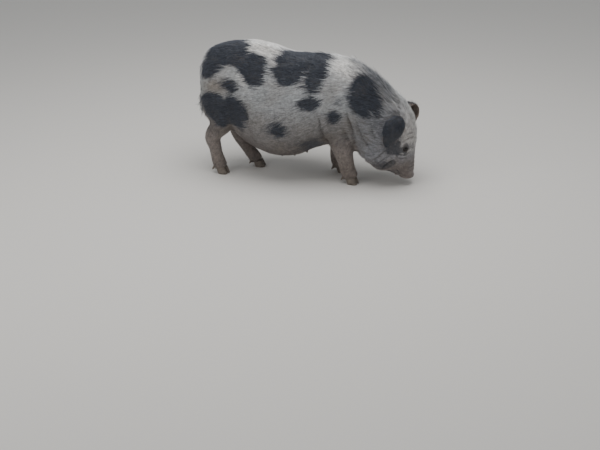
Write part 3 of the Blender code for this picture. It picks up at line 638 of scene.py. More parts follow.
# the same on her head, as x, distance from the midline, height and the three radii; both sides take them; those round
# the mouth, on the jaw, the lower lip and in the nostrils are painted shade
headMixed = (
    (0.436, 0.066, 0.178, 0.033, 0.040, 0.031, 0.92),      # round the eye
    (0.412, 0.088, 0.330, 0.028, 0.032, 0.022, 0.90),      # over the ear's root
    (0.396, 0.112, 0.196, 0.044, 0.046, 0.044, 0.90),      # below the ear's tip
    (0.418, 0.092, 0.176, 0.040, 0.040, 0.031, 0.97),      # from there to the eye
    (0.460, 0.030, 0.176, 0.022, 0.032, 0.022, 0.58),      # between the eyes
    (0.372, 0.110, 0.112, 0.046, 0.060, 0.026, 0.88),      # corner of the mouth, painted shade
    (0.345, 0.115, 0.112, 0.052, 0.060, 0.028, 0.62),      # along the jaw, painted shade
    (0.392, 0.060, 0.064, 0.050, 0.050, 0.026, 0.60),      # lower lip, painted shade
    (0.443, 0.0155, 0.036, 0.008, 0.007, 0.014, 1.00),     # in the nostrils, painted shade in the openings
)

# where the light hair is palest, as x and girth of the centre and the two radii, on both sides
saddles = ((-0.17, 0.05, 0.10, 0.09), (0.19, 0.08, 0.07, 0.10), (-0.225, 0.20, 0.03, 0.10))

# hair colours in the light parts, top to bottom; the darkening from the back down to the belly is partly painted shade
# from the light above and partly dust
hairHex = {
    "saddle": "#f3f1ed", "back": "#cfcfce", "flank": "#b4b6b7", "low": "#94918f", "belly": "#6d6663",
    "dusty": "#978c80", "neck": "#8c8d90", "face": "#d2d1cf", "cheek": "#999a9e", "muzzle": "#857e7b",
    "leg": "#958d89", "foot": "#887f79", "ear": "#3c3c41", "earInner": "#94867d",
}
hair = {name: np.array(hexColour(code)[:3]) for name, code in hairHex.items()}

# how long the hairs are, in metres; in pairs, heights above the floor and the lengths at them
hairLength = {
    "trunk": 0.029, "bellyLess": 0.006, "neckMore": 0.004, "ear": 0.010, "earRimMore": 0.012, "cheekMore": 0.008,
    "face": ((0.03, 0.07, 0.13, 0.20, 0.30, 0.38), (0.0045, 0.0065, 0.0095, 0.0125, 0.018, 0.028)),
    "legs": ((0.03, 0.045, 0.07, 0.10, 0.18, 0.26), (0.0115, 0.0105, 0.0075, 0.0085, 0.013, 0.023)),
    "tail": ((0.26, 0.33, 0.42), (0.048, 0.036, 0.018)),
    # in pairs, distances from the eye or from a teat and the longest that a hair is there
    "byEye": ((0.014, 0.032, 0.05), (0.0055, 0.010, 0.05)),
    "byTeat": ((0.007, 0.020, 0.030), (0.006, 0.012, 0.05)),
}


def blended(first, second, share):
    share = np.asarray(share)[:, None]
    return first * (1 - share) + second * share


def shares(places, pairs):
    # how much each point of the skin belongs to each solid, fading from one to the next
    number = nodeNumbers(places)
    share = {}
    for k, name in enumerate(fleshNodes):
        share[name] = np.clip(relaxed((number == k).astype(float), pairs, 0.9, 14), 0, 1)
    share["ears"] = share["ear_right"] + share["ear_left"]
    share["legs"] = sum(share[n] for n in fleshNodes if n.startswith("leg"))
    return share


def markings(places, normals, share):
    # how far inside a black patch a point is, the share of dark hairs, and the ears' inner sides
    x, y, z = places.T
    off = y - midline(x)
    ear, legs = share["ears"], share["legs"]

    # the patches, with edges that wander
    broad, fine = patchEdge["broad"], patchEdge["fine"]
    wander = np.stack([waves(places, broad, 3), waves(places, broad, 4)], 1) * patchEdge["broadBy"]
    wander += np.stack([waves(places, fine, 5), waves(places, fine, 6)], 1) * patchEdge["fineBy"]
    u, v = x + wander[:, 0], girth(places) + wander[:, 1]
    trunk = np.clip(share["torso"] + share["neck"] + legs * smoothStep(0.20, 0.235, z) + share["tail"], 0, 1)
    inside = np.full(len(places), -0.1)
    for cx, cg, rx, rg in blackPatches:
        size = np.hypot((u - cx) / rx, (v - cg) / rg)
        inside = np.maximum(inside, (1 - size) * min(rx, rg))
    inside = np.where(trunk > 0.5, inside, np.minimum(inside, (trunk - 0.5) * 0.08))

    # black ears but for their inner sides, and a black tail
    innerEar = ear * smoothStep(0.05, 0.45, -np.sign(off) * normals[:, 1] - 0.3 * normals[:, 2])
    inside = np.maximum(inside, (ear * (1 - innerEar) - 0.40) * 0.04)
    inside = np.maximum(inside, (share["tail"] - 0.45) * 0.04)

    # dark hairs among the light ones
    mixed = 0.025 + 0.02 * waves(places, 0.045, 8)
    for cx, cg, rx, rg, part in mixedPatches:
        size = np.hypot((u - cx) / rx, (v - cg) / rg)
        mixed = np.maximum(mixed, part * (1 - smoothStep(0.55, 1.15, size)))
    warp = places + 0.006 * np.stack([waves(places, 0.04, s) for s in (11, 12, 13)], 1)
    head = np.clip(share["head"] - 0.2, 0, 1)
    mixed = np.where(head > 0.5, np.maximum(mixed, 0.09 + 0.07 * waves(places, 0.03, 9)), mixed)
    for cx, co, cz, rx, ro, rz, part in headMixed:
        size = np.sqrt(((warp[:, 0] - cx) / rx) ** 2 + ((np.abs(off) - co) / ro) ** 2 + ((warp[:, 2] - cz) / rz) ** 2)
        mixed = np.maximum(mixed, part * (1 - smoothStep(0.55, 1.1, size)))
    return inside, np.maximum(mixed, 0.13 * legs), innerEar


def hairTints(places, normals, pairs, share, innerEar):
    # hair colour where it is light, from the back down, then on neck, face, legs and ears
    x, y, z = places.T
    around = np.abs(girth(places))
    head = np.clip(share["head"] - 0.2, 0, 1)
    ear = np.clip(share["ears"], 0, 1)
    # painted shade, partly dust: the light hair darkens from the back over the flank and low side to the belly
    tint = blended(hair["back"], hair["flank"], smoothStep(0.07, 0.30, around + 0.02 * waves(places, 0.08, 14)))
    tint = blended(tint, hair["low"], smoothStep(0.30, 0.46, around))
    tint = blended(tint, hair["belly"], smoothStep(0.44, 0.58, around) * (1 - head))
    for cx, cg, rx, rg in saddles:
        size = np.hypot((x - cx) / rx, (around - cg) / rg)
        tint = blended(tint, hair["saddle"], 0.85 * (1 - smoothStep(0.4, 1.2, size)))
    nape = share["neck"] * smoothStep(0.20, 0.28, x) * 0.85 * (1 - 0.5 * smoothStep(0.36, 0.42, x))
    tint = blended(tint, hair["neck"], nape)
    ham = np.exp(-((x + 0.36) / 0.06) ** 2 - ((around - 0.30) / 0.05) ** 2)
    tint = blended(tint, hair["dusty"], 0.7 * ham)
    faceTint = blended(hair["cheek"], hair["face"], smoothStep(0.395, 0.45, x) * smoothStep(0.12, 0.19, z))
    faceTint = blended(faceTint, hair["muzzle"], 1 - smoothStep(0.09, 0.15, z))
    tint = blended(tint, faceTint, np.clip(share["head"] * 1.2, 0, 1) * (1 - smoothStep(0.30, 0.38, z)))
    legTint = blended(hair["foot"], hair["leg"], smoothStep(0.05, 0.14, z))
    tint = blended(tint, legTint, share["legs"] * (1 - smoothStep(0.17, 0.25, z)))
    tint = blended(tint, hair["ear"], ear)
    tint = blended(tint, hair["earInner"], np.clip(innerEar, 0, 1))

    # painted shade, with soil, darkens the creases, and dust lies here and there
    hollow = np.einsum("ij,ij->i", relaxed(places, pairs, 0.9, 12) - places, normals)
    # painted shade in the hollows: concave places are darkened
    creaseShadeAndSoil = 0.55 * smoothStep(0.0002, 0.0013, hollow) * (1 - ear)
    tint = tint * (1 - creaseShadeAndSoil)[:, None]
    dirt = smoothStep(0.1, 0.9, waves(places, 0.10, 17) + 0.4 * waves(places, 0.03, 18))
    return blended(tint, hair["dusty"] * 0.8, 0.22 * dirt * (1 - head))


def hairLie(places, normals, pairs, share):
    # the way the hair lies: back along the trunk, down the legs, up the face and down the hanging ears
    x, y, z = places.T
    off = y - midline(x)
    around = np.abs(girth(places))
    lie = np.tile([-1.0, 0, 0], (len(places), 1))
    lie[:, 2] -= 0.45 * smoothStep(0.08, 0.30, around) * (1 - smoothStep(0.42, 0.56, around))
    lie = blended(lie, np.array([-0.35, 0, -1.0]), 1 - smoothStep(-0.46, -0.34, x))
    lie = blended(lie, np.array([-1.0, 0, 0.35]), share["neck"] * 0.8)
    front = smoothStep(0.37, 0.45, x)
    headLie = np.stack([-1 + 0.72 * front, 0 * x, 0.10 + 0.90 * front], 1)
    lie = blended(lie, headLie, np.clip(share["head"] * 1.2, 0, 1))
    lie = blended(lie, np.array([-0.25, 0, -1.0]), np.clip(share["legs"] * 1.2, 0, 1))
    hang = smoothStep(0.075, 0.125, np.abs(off))[:, None]
    earLie = np.stack([0.1 + 0 * x, np.sign(off), 0.3 + 0 * x], 1) * (1 - hang) + np.array([-0.22, 0.0, -1.0]) * hang
    lie = blended(lie, earLie, np.clip(share["ears"] * 1.2, 0, 1))
    lie = blended(lie, np.array([0, 0, -1.0]), share["tail"])
    lie = relaxed(lie, pairs, 0.9, 4)
    lie = unit(lie - normals * np.einsum("ij,ij->i", lie, normals)[:, None])
    swirl = 0.20 * waves(places, 0.09, 21) + 0.12 * waves(places, 0.03, 22)
    return unit(lie + np.cross(normals, lie) * swirl[:, None])


def hairLengths(places, normals, pairs, share):
    # how long the hair is and how close it stands
    x, y, z = places.T
    around = np.abs(girth(places))
    ear, legs = share["ears"], share["legs"]
    length = hairLength["trunk"] - hairLength["bellyLess"] * smoothStep(0.38, 0.55, around)
    length = length + 0.003 * waves(places, 0.06, 25)
    length = length + hairLength["neckMore"] * share["neck"] * (1 - smoothStep(0.1, 0.25, around))
    faceLength = np.interp(z, *hairLength["face"]) + hairLength["cheekMore"] * (1 - smoothStep(0.33, 0.40, x))
    length = length * (1 - share["head"]) + faceLength * share["head"]
    length = length * (1 - legs) + np.interp(z, *hairLength["legs"]) * legs
    length = length * (1 - ear) + hairLength["ear"] * ear
    rim = np.linalg.norm(relaxed(places, pairs, 0.9, 24) - places, axis=1) * smoothStep(0.4, 0.8, ear)
    length = length + hairLength["earRimMore"] * smoothStep(0.0006, 0.0018, rim)
    length = length * (1 - share["tail"]) + np.interp(z, *hairLength["tail"]) * share["tail"]

    # none under the coronets, on the lids, on the snout's disc or on the teats
    cover = smoothStep(-0.75, -0.45, normals[:, 2] + 2 * smoothStep(0.04, 0.06, z))
    for word in ("right", "left"):
        gap = np.linalg.norm(places - np.array(eyeCentre(word)), axis=1)
        cover *= smoothStep(0.0128, 0.0148, gap)
        length = np.minimum(length, np.interp(gap, *hairLength["byEye"]))
    cover *= 1 - share["head"] * (1 - smoothStep(0.050, 0.066, z))
    for spot in teatSpots:
        gap = np.linalg.norm(places - spot, axis=1)
        cover *= smoothStep(0.0060, 0.0085, gap)
        length = np.minimum(length, np.interp(gap, *hairLength["byTeat"]))
    return length, cover


def coatRegions(mesh, places, share):
    # the number of the coat's piece that grows on each face, and whether the crest grows there too
    x, y, z = places.T
    off = y - midline(x)
    polygons = np.empty(len(mesh.polygons) * 3, np.int32)
    mesh.polygons.foreach_get("vertices", polygons)
    corners = polygons.reshape(-1, 3)
    fx = x[corners].mean(1)
    fOff = off[corners].mean(1)
    left = (fOff > 0).astype(int)
    zone = 2 * np.searchsorted((-0.27, -0.13, 0.01, 0.15), fx, side="right") + left
    hind = share["leg_hind_right"] + share["leg_hind_left"]
    fore = share["leg_fore_right"] + share["leg_fore_left"]
    for values, own in (
        (share["neck"], 8 + left), (share["head"], 10), (share["ears"], 11),
        (hind, 12), (fore, 13), (share["tail"], 14),
    ):
        mostly = (values > 0.5)[corners].mean(1) > 0.5
        zone = np.where(mostly, own, zone)

    # the crest is a ragged band along the back from the forehead to the withers
    backTop = np.interp(fx, *zip(*backLine))
    ragged = 0.019 + 0.005 * waves(places, 0.03, 31)[corners].mean(1)
    crest = (np.abs(fOff) < ragged * smoothStep(0.02, 0.16, fx)) & (z[corners].mean(1) > backTop - 0.035)
    return zone, crest & (fx > 0.03) & (fx < 0.466)


def growth(mesh):
    # stores all that the coat and the hide's colours follow on the skin itself
    places, normals, pairs = vertexPlaces(mesh), vertexNormals(mesh), edgePairs(mesh)
    share = shares(places, pairs)
    inside, mixed, innerEar = markings(places, normals, share)
    tint = hairTints(places, normals, pairs, share, innerEar)
    length, cover = hairLengths(places, normals, pairs, share)
    zone, crest = coatRegions(mesh, places, share)
    for name, kind, domain, values in (
        ("crest", "INT", "FACE", crest.astype(int)), ("inside", "FLOAT", "POINT", inside),
        ("mixed", "FLOAT", "POINT", np.clip(mixed, 0, 1)), ("cover", "FLOAT", "POINT", np.clip(cover, 0, 1)),
        ("hairLength", "FLOAT", "POINT", length),
        ("lie", "FLOAT_VECTOR", "POINT", hairLie(places, normals, pairs, share)), ("zone", "INT", "FACE", zone),
        ("tint", "FLOAT_COLOR", "POINT", np.column_stack([np.clip(tint, 0, 1), np.ones(len(places))])),
        ("legShare", "FLOAT", "POINT", np.clip(share["legs"] + share["tail"] + share["ears"], 0, 1)),
        ("faceShare", "FLOAT", "POINT", np.clip(share["head"], 0, 1)),
    ):
        layer = mesh.attributes.new(name, kind, domain)
        field = {"FLOAT_VECTOR": "vector", "FLOAT_COLOR": "color"}.get(kind, "value")
        plain = np.int32 if kind == "INT" else np.float32
        layer.data.foreach_set(field, np.ascontiguousarray(values, plain).ravel())


def unwrapped(thing):
    # lays the skin's own map out, which every bristle takes its place on OFBake from
    for other in bpy.context.selected_objects:
        other.select_set(False)
    thing.select_set(True)
    bpy.context.view_layer.objects.active = thing
    thing.data.uv_layers.new(name="unwrap")
    bpy.ops.object.mode_set(mode="EDIT")
    bpy.ops.mesh.select_all(action="SELECT")
    bpy.ops.uv.smart_project(angle_limit=math.radians(66), island_margin=0.002)
    bpy.ops.object.mode_set(mode="OBJECT")


growth(skin.data)
report("growth worked out")
unwrapped(skin)
report("skin unwrapped")


hide = {
    "blackSkin": "#2d3037",          # bare hide under black hair
    "paleSkin": "#d2cccb",           # what bare hide makes of the hair's own colour elsewhere
    "dust": "#8d8070",
    "edgeBlur": 0.005,               # metres over which the hide's own colour changes
    "edgeGrain": 0.006, "edgeWander": 0.016,
    "fleck": 0.004,                  # size of the small dark flecks
    "dustPatch": 0.05,
    "strandWidth": 0.0011,           # spacing of the fine strands in the bump, drawn at about twice life size
    "strandLength": 0.016,
    "wrinkleSize": 0.0035,
    "clump": 0.013, "clumpTone": 0.22,
    "roughness": 0.62,
}


def clumpTone(tree):
    # how much lighter or darker a clump of hairs is than the next
    point = addNode(tree, "ShaderNodeTexCoord").outputs["Object"]
    clump = addNode(tree, "ShaderNodeTexNoise", inputs={
        "Vector": point, "Scale": 1 / hide["clump"], "Detail": 4.0, "Roughness": 0.62,
    }).outputs["Fac"]
    return addNode(tree, "ShaderNodeMapRange", inputs={
        "Value": clump, "From Min": 0.34, "From Max": 0.66,
        "To Min": 1 - hide["clumpTone"], "To Max": 1 + hide["clumpTone"],
    }).outputs[0]


def hideMaterial():
    # living hide under flat bristles: soft sheen, fine strands along the lie and small wrinkles
    material, tree = newMaterial("bristly pig hide")
    point = addNode(tree, "ShaderNodeTexCoord").outputs["Object"]
    given = {
        name: addNode(tree, "ShaderNodeAttribute", {"attribute_name": name}).outputs["Fac"]
        for name in ("inside", "mixed", "legShare", "faceShare")
    }
    tint = addNode(tree, "ShaderNodeAttribute", {"attribute_name": "tint"}).outputs["Color"]

    # black where a patch is, with an edge that wanders from hair to hair
    ragged = addNode(tree, "ShaderNodeTexNoise", inputs={
        "Vector": point, "Scale": 1 / hide["edgeGrain"], "Detail": 3.0,
    }).outputs["Fac"]
    jitter = addNode(tree, "ShaderNodeMath", {"operation": "MULTIPLY_ADD"}, {
        0: ragged, 1: hide["edgeWander"], 2: -hide["edgeWander"] / 2,
    }).outputs[0]
    edge = addNode(tree, "ShaderNodeMath", {"operation": "ADD"}, {0: given["inside"], 1: jitter}).outputs[0]
    black = addNode(tree, "ShaderNodeMapRange", {"interpolation_type": "SMOOTHSTEP"}, {
        "Value": edge, "From Min": -hide["edgeBlur"], "From Max": hide["edgeBlur"],
    }).outputs[0]

    # flecks where dark hairs are mixed in
    speck = addNode(tree, "ShaderNodeTexNoise", inputs={
        "Vector": point, "Scale": 1 / hide["fleck"], "Detail": 2.0,
    }).outputs["Fac"]
    reach = addNode(tree, "ShaderNodeMath", {"operation": "MULTIPLY_ADD"}, {
        0: given["mixed"], 1: 0.9, 2: -0.45,
    }).outputs[0]
    specked = addNode(tree, "ShaderNodeMath", {"operation": "ADD"}, {0: speck, 1: reach}).outputs[0]
    speckled = addNode(tree, "ShaderNodeMapRange", {"interpolation_type": "SMOOTHSTEP"}, {
        "Value": specked, "From Min": 0.34, "From Max": 0.86,
    }).outputs[0]
    darkest = addNode(tree, "ShaderNodeMath", {"operation": "MULTIPLY"}, {0: speckled, 1: 0.8}).outputs[0]
    darkShare = addNode(tree, "ShaderNodeMath", {"operation": "MAXIMUM"}, {0: black, 1: darkest}).outputs[0]
    pale = addNode(tree, "ShaderNodeMix", {"data_type": "RGBA", "blend_type": "MULTIPLY"}, {
        "Factor": 1.0, 6: tint, 7: hexColour(hide["paleSkin"]),
    }).outputs[2]
    colour = addNode(tree, "ShaderNodeMix", {"data_type": "RGBA"}, {
        "Factor": darkShare, 6: pale, 7: hexColour(hide["blackSkin"]),
    }).outputs[2]

    # dust in broad patches, and clumps of hair lighter or darker than the next
    dusty = addNode(tree, "ShaderNodeTexNoise", inputs={
        "Vector": point, "Scale": 1 / hide["dustPatch"], "Detail": 5.0, "Roughness": 0.65,
    }).outputs["Fac"]
    dustShare = addNode(tree, "ShaderNodeMapRange", inputs={
        "Value": dusty, "From Min": 0.45, "From Max": 0.85, "To Max": 0.45,
    }).outputs[0]
    colour = addNode(tree, "ShaderNodeMix", {"data_type": "RGBA"}, {
        "Factor": dustShare, 6: colour, 7: hexColour(hide["dust"]),
    }).outputs[2]
    tone = clumpTone(tree)
    grey = addNode(tree, "ShaderNodeCombineColor", inputs={"Red": tone, "Green": tone, "Blue": tone}).outputs[0]
    colour = addNode(tree, "ShaderNodeMix", {"data_type": "RGBA", "blend_type": "MULTIPLY"}, {
        "Factor": 1.0, 6: colour, 7: grey,
    }).outputs[2]

    # strands run along her on the trunk and down on the legs and face
    strand, width = 1 / hide["strandLength"], 1 / hide["strandWidth"]
    noises = []
    for stretch in ((strand, width, width), (width, width, strand)):
        drawn = addNode(tree, "ShaderNodeMapping", inputs={"Vector": point, "Scale": stretch}).outputs[0]
        noise = addNode(tree, "ShaderNodeTexNoise", inputs={"Vector": drawn, "Scale": 1.0, "Detail": 2.0})
        noises.append(noise.outputs["Fac"])
    vertical = addNode(tree, "ShaderNodeMath", {"operation": "MAXIMUM"}, {
        0: given["legShare"], 1: given["faceShare"],
    }).outputs[0]
    strands = addNode(tree, "ShaderNodeMix", {"data_type": "FLOAT"}, {
        "Factor": vertical, 2: noises[0], 3: noises[1],
    }).outputs[0]
    wrinkles = addNode(tree, "ShaderNodeTexVoronoi", {"feature": "DISTANCE_TO_EDGE"}, {
        "Vector": point, "Scale": 1 / hide["wrinkleSize"],
    }).outputs["Distance"]
    wrinkleShape = addNode(tree, "ShaderNodeMapRange", inputs={"Value": wrinkles, "From Max": 0.25}).outputs[0]
    fine = addNode(tree, "ShaderNodeBump", inputs={"Strength": 0.55, "Distance": 0.0009, "Height": strands}).outputs[0]
    bump = addNode(tree, "ShaderNodeBump", inputs={
        "Strength": 0.45, "Distance": 0.0008, "Height": wrinkleShape, "Normal": fine,
    }).outputs[0]
    shader = addNode(tree, "ShaderNodeBsdfPrincipled", inputs={
        "Base Color": colour, "Roughness": hide["roughness"], "IOR": 1.45, "Specular IOR Level": 0.35, "Normal": bump,
        "Sheen Weight": 0.15, "Sheen Roughness": 0.5,
    })
    addNode(tree, "ShaderNodeOutputMaterial", inputs={"Surface": shader.outputs[0]})
    return material


skin.data.materials.clear()
skin.data.materials.append(hideMaterial())


bristle = {
    "blackHair": "#282c34",
    # painted sheen: black hair is drawn lighter and bluer towards the tip, as light from above would show it
    "blackTip": "#4f535e",
    "toneSpread": 0.34,              # how much one bristle may be lighter than the next
    "rootTone": 0.86, "tipLighter": 0.28,
    "edgeFray": 0.016,               # metres that black and white hairs cross over at a patch's edge
    "strayDark": 0.78,               # how dark a dark hair among light ones is
    "roughness": 0.48,
}


def bristleMaterial():
    # coarse straight bristles: dull keratin, darker at the root and lighter towards the tip; the black hairs' lighter,
    # bluer tips are a painted sheen
    material, tree = newMaterial("pig bristle")
    given = {
        name: addNode(tree, "ShaderNodeAttribute", {"attribute_name": name}).outputs["Fac"]
        for name in ("inside", "mixed", "pick", "speck", "tone", "along")
    }
    tint = addNode(tree, "ShaderNodeAttribute", {"attribute_name": "tint"}).outputs["Color"]
    fray = addNode(tree, "ShaderNodeMath", {"operation": "MULTIPLY_ADD"}, {
        0: given["pick"], 1: bristle["edgeFray"], 2: -bristle["edgeFray"] / 2,
    }).outputs[0]
    edge = addNode(tree, "ShaderNodeMath", {"operation": "ADD"}, {0: given["inside"], 1: fray}).outputs[0]
    black = addNode(tree, "ShaderNodeMath", {"operation": "GREATER_THAN"}, {0: edge, 1: 0.0}).outputs[0]
    stray = addNode(tree, "ShaderNodeMath", {"operation": "LESS_THAN"}, {
        0: given["speck"], 1: given["mixed"],
    }).outputs[0]
    greyed = addNode(tree, "ShaderNodeMath", {"operation": "MULTIPLY"}, {0: stray, 1: bristle["strayDark"]}).outputs[0]
    darkShare = addNode(tree, "ShaderNodeMath", {"operation": "MAXIMUM"}, {0: black, 1: greyed}).outputs[0]
    # black hair from root to tip, the tip lighter as a painted sheen
    dark = addNode(tree, "ShaderNodeMix", {"data_type": "RGBA"}, {
        "Factor": given["along"], 6: hexColour(bristle["blackHair"]), 7: hexColour(bristle["blackTip"]),
    }).outputs[2]
    colour = addNode(tree, "ShaderNodeMix", {"data_type": "RGBA"}, {"Factor": darkShare, 6: tint, 7: dark}).outputs[2]
    lift = addNode(tree, "ShaderNodeMath", {"operation": "MULTIPLY_ADD"}, {
        0: given["tone"], 1: bristle["toneSpread"], 2: bristle["rootTone"] - bristle["toneSpread"] / 2,
    }).outputs[0]
    shade = addNode(tree, "ShaderNodeMath", {"operation": "MULTIPLY_ADD"}, {
        0: given["along"], 1: bristle["tipLighter"], 2: lift,
    }).outputs[0]
    shade = addNode(tree, "ShaderNodeMath", {"operation": "MULTIPLY"}, {0: shade, 1: clumpTone(tree)}).outputs[0]
    grey = addNode(tree, "ShaderNodeCombineColor", inputs={"Red": shade, "Green": shade, "Blue": shade}).outputs[0]
    colour = addNode(tree, "ShaderNodeMix", {"data_type": "RGBA", "blend_type": "MULTIPLY"}, {
        "Factor": 1.0, 6: colour, 7: grey,
    }).outputs[2]
    shader = addNode(tree, "ShaderNodeBsdfPrincipled", inputs={
        "Base Color": colour, "Roughness": bristle["roughness"], "IOR": 1.55, "Specular IOR Level": 0.4,
    })
    addNode(tree, "ShaderNodeOutputMaterial", inputs={"Surface": shader.outputs[0]})
    return material


def bristlePair():
    # two tapered bristles, one a little behind the other, a metre long and one unit wide across y
    mesh = bpy.data.meshes.new("bristle pair")
    bm = bmesh.new()
    along = bm.verts.layers.float.new("along")
    spot = bm.verts.layers.float_vector.new("patchSpot")
    for shift, start, reach, splay in ((-1.3, 0.0, 1.0, 0.05), (1.3, -0.28, 0.85, -0.04)):
        rings = []
        for t, width in ((0.0, 0.55), (0.5, 0.5)):
            middle = Vector((start + t * reach, 0, 0.13 * t * (1.2 - 0.7 * t) - (0.02 if t == 0 else 0)))
            ring = []
            for k in range(3):
                turn = math.pi / 2 + k * 2 * math.pi / 3
                y = shift + math.cos(turn) * width + splay * t * 9
                vert = bm.verts.new((middle.x, y, middle.z + math.sin(turn) * width * 0.022))
                vert[along] = t
                vert[spot] = Vector((0.0015 * (2 * t - 1), 0.0015 * math.cos(turn), 0))
                ring.append(vert)
            rings.append(ring)
        tip = bm.verts.new((start + reach, shift + splay * 11, 0.13 * 0.5))
        tip[along] = 1.0
        tip[spot] = Vector((0.0015, 0, 0))
        bm.faces.new(rings[0])
        for k in range(3):
            a, b = rings[0][k], rings[0][(k + 1) % 3]
            c, d = rings[1][(k + 1) % 3], rings[1][k]
            bm.faces.new((a, b, c))
            bm.faces.new((a, c, d))
            bm.faces.new((d, c, tip))
    bmesh.ops.recalc_face_normals(bm, faces=bm.faces)
    bm.to_mesh(mesh)
    bm.free()
    return bpy.data.objects.new("bristle pair", mesh)


def coatTree(hairShape, material):
    tree = bpy.data.node_groups.new("flat bristles", "GeometryNodeTree")
    sockets = {}
    for name, kind, default in (
        ("Geometry", "NodeSocketGeometry", None), ("Region", "NodeSocketString", "zone"),
        ("Zone", "NodeSocketInt", 0), ("Spacing", "NodeSocketFloat", 0.0046), ("Width", "NodeSocketFloat", 0.0013),
        ("Length", "NodeSocketFloat", 1.0), ("Lift", "NodeSocketFloat", 0.06), ("Turn", "NodeSocketFloat", 0.22),
        ("Seed", "NodeSocketInt", 1),
    ):
        socket = tree.interface.new_socket(name=name, in_out="INPUT", socket_type=kind)
        if default is not None:
            socket.default_value = default
        sockets[name] = socket.identifier
    tree.interface.new_socket(name="Geometry", in_out="OUTPUT", socket_type="NodeSocketGeometry")
    given = addNode(tree, "NodeGroupInput").outputs
    stored = {}
    for name, kind in (
        ("cover", "FLOAT"), ("lie", "FLOAT_VECTOR"), ("hairLength", "FLOAT"),
        ("unwrap", "FLOAT_VECTOR"), ("patchSpot", "FLOAT_VECTOR"), ("region", "INT"),
    ):
        reader = addNode(tree, "GeometryNodeInputNamedAttribute", {"data_type": kind}, {
            "Name": given["Region"] if name == "region" else name,
        })
        stored[name] = reader.outputs["Attribute"]
    minus = {
        name: addNode(tree, "ShaderNodeMath", {"operation": "MULTIPLY"}, {0: given[name], 1: -1.0}).outputs[0]
        for name in ("Lift", "Turn")
    }
    # each chance is drawn with its own number added to the seed
    chance = {}
    for salt, (name, least, most) in enumerate((
        ("roll", -0.5, 0.5), ("lift", minus["Lift"], 0.01), ("turn", minus["Turn"], given["Turn"]),
        ("length", 0.72, 1.2), ("width", 0.75, 1.25), ("pick", 0.0, 1.0), ("speck", 0.0, 1.0), ("tone", 0.0, 1.0),
    ), start=1):
        seed = addNode(tree, "ShaderNodeMath", {"operation": "ADD"}, {0: given["Seed"], 1: float(salt)}).outputs[0]
        draw = addNode(tree, "FunctionNodeRandomValue", {"data_type": "FLOAT"}, {2: least, 3: most, "Seed": seed})
        chance[name] = draw.outputs[1]

    # points on the region's own faces
    chosen = addNode(tree, "FunctionNodeCompare", {"data_type": "INT", "operation": "EQUAL"}, {
        2: stored["region"], 3: given["Zone"],
    }).outputs[0]
    scatter = addNode(tree, "GeometryNodeDistributePointsOnFaces", {"distribute_method": "POISSON"}, {
        "Mesh": given["Geometry"], "Selection": chosen, "Distance Min": given["Spacing"], "Density Max": 400000.0,
        "Density Factor": stored["cover"], "Seed": given["Seed"],
    })
    points = scatter.outputs["Points"]
    for name in ("pick", "speck", "tone"):
        points = addNode(tree, "GeometryNodeStoreNamedAttribute", {"data_type": "FLOAT", "domain": "POINT"}, {
            "Geometry": points, "Name": name, "Value": chance[name],
        }).outputs[0]

    # each lies along the hide, then stands up and turns aside a little
    upright = addNode(tree, "FunctionNodeAlignRotationToVector", {"axis": "Z"}, {
        "Vector": scatter.outputs["Normal"],
    }).outputs[0]
    lying = addNode(tree, "FunctionNodeAlignRotationToVector", {"axis": "X", "pivot_axis": "Z"}, {
        "Rotation": upright, "Vector": stored["lie"],
    }).outputs[0]
    tilt = addNode(tree, "ShaderNodeCombineXYZ", inputs={
        "X": chance["roll"], "Y": chance["lift"], "Z": chance["turn"],
    }).outputs[0]
    asTurn = addNode(tree, "FunctionNodeEulerToRotation", inputs={"Euler": tilt}).outputs[0]
    tilted = addNode(tree, "FunctionNodeRotateRotation", {"rotation_space": "LOCAL"}, {
        "Rotation": lying, "Rotate By": asTurn,
    }).outputs[0]
    long = addNode(tree, "ShaderNodeMath", {"operation": "MULTIPLY"}, {
        0: stored["hairLength"], 1: chance["length"],
    }).outputs[0]
    long = addNode(tree, "ShaderNodeMath", {"operation": "MULTIPLY"}, {0: long, 1: given["Length"]}).outputs[0]
    wide = addNode(tree, "ShaderNodeMath", {"operation": "MULTIPLY"}, {
        0: given["Width"], 1: chance["width"],
    }).outputs[0]
    size = addNode(tree, "ShaderNodeCombineXYZ", inputs={"X": long, "Y": wide, "Z": long}).outputs[0]
    shape = addNode(tree, "GeometryNodeObjectInfo", inputs={"Object": hairShape}).outputs["Geometry"]
    grown = addNode(tree, "GeometryNodeInstanceOnPoints", inputs={
        "Points": points, "Instance": shape, "Rotation": tilted, "Scale": size,
    }).outputs[0]
    real = addNode(tree, "GeometryNodeRealizeInstances", inputs={"Geometry": grown}).outputs[0]

    # each has its own small spot on the map, at its root's place
    spotOnMap = addNode(tree, "ShaderNodeVectorMath", {"operation": "ADD"}, {
        0: stored["unwrap"], 1: stored["patchSpot"],
    }).outputs[0]
    mapped = addNode(tree, "GeometryNodeStoreNamedAttribute", {"data_type": "FLOAT2", "domain": "CORNER"}, {
        "Geometry": real, "Name": "OFBake", "Value": spotOnMap,
    }).outputs[0]
    for name in ("unwrap", "patchSpot", "lie", "cover", "zone", "crest", "hairLength", "legShare", "faceShare"):
        mapped = addNode(tree, "GeometryNodeRemoveAttribute", inputs={"Geometry": mapped, "Name": name}).outputs[0]
    done = addNode(tree, "GeometryNodeSetMaterial", inputs={"Geometry": mapped, "Material": material}).outputs[0]
    addNode(tree, "NodeGroupOutput", inputs={"Geometry": done})
    return tree, sockets


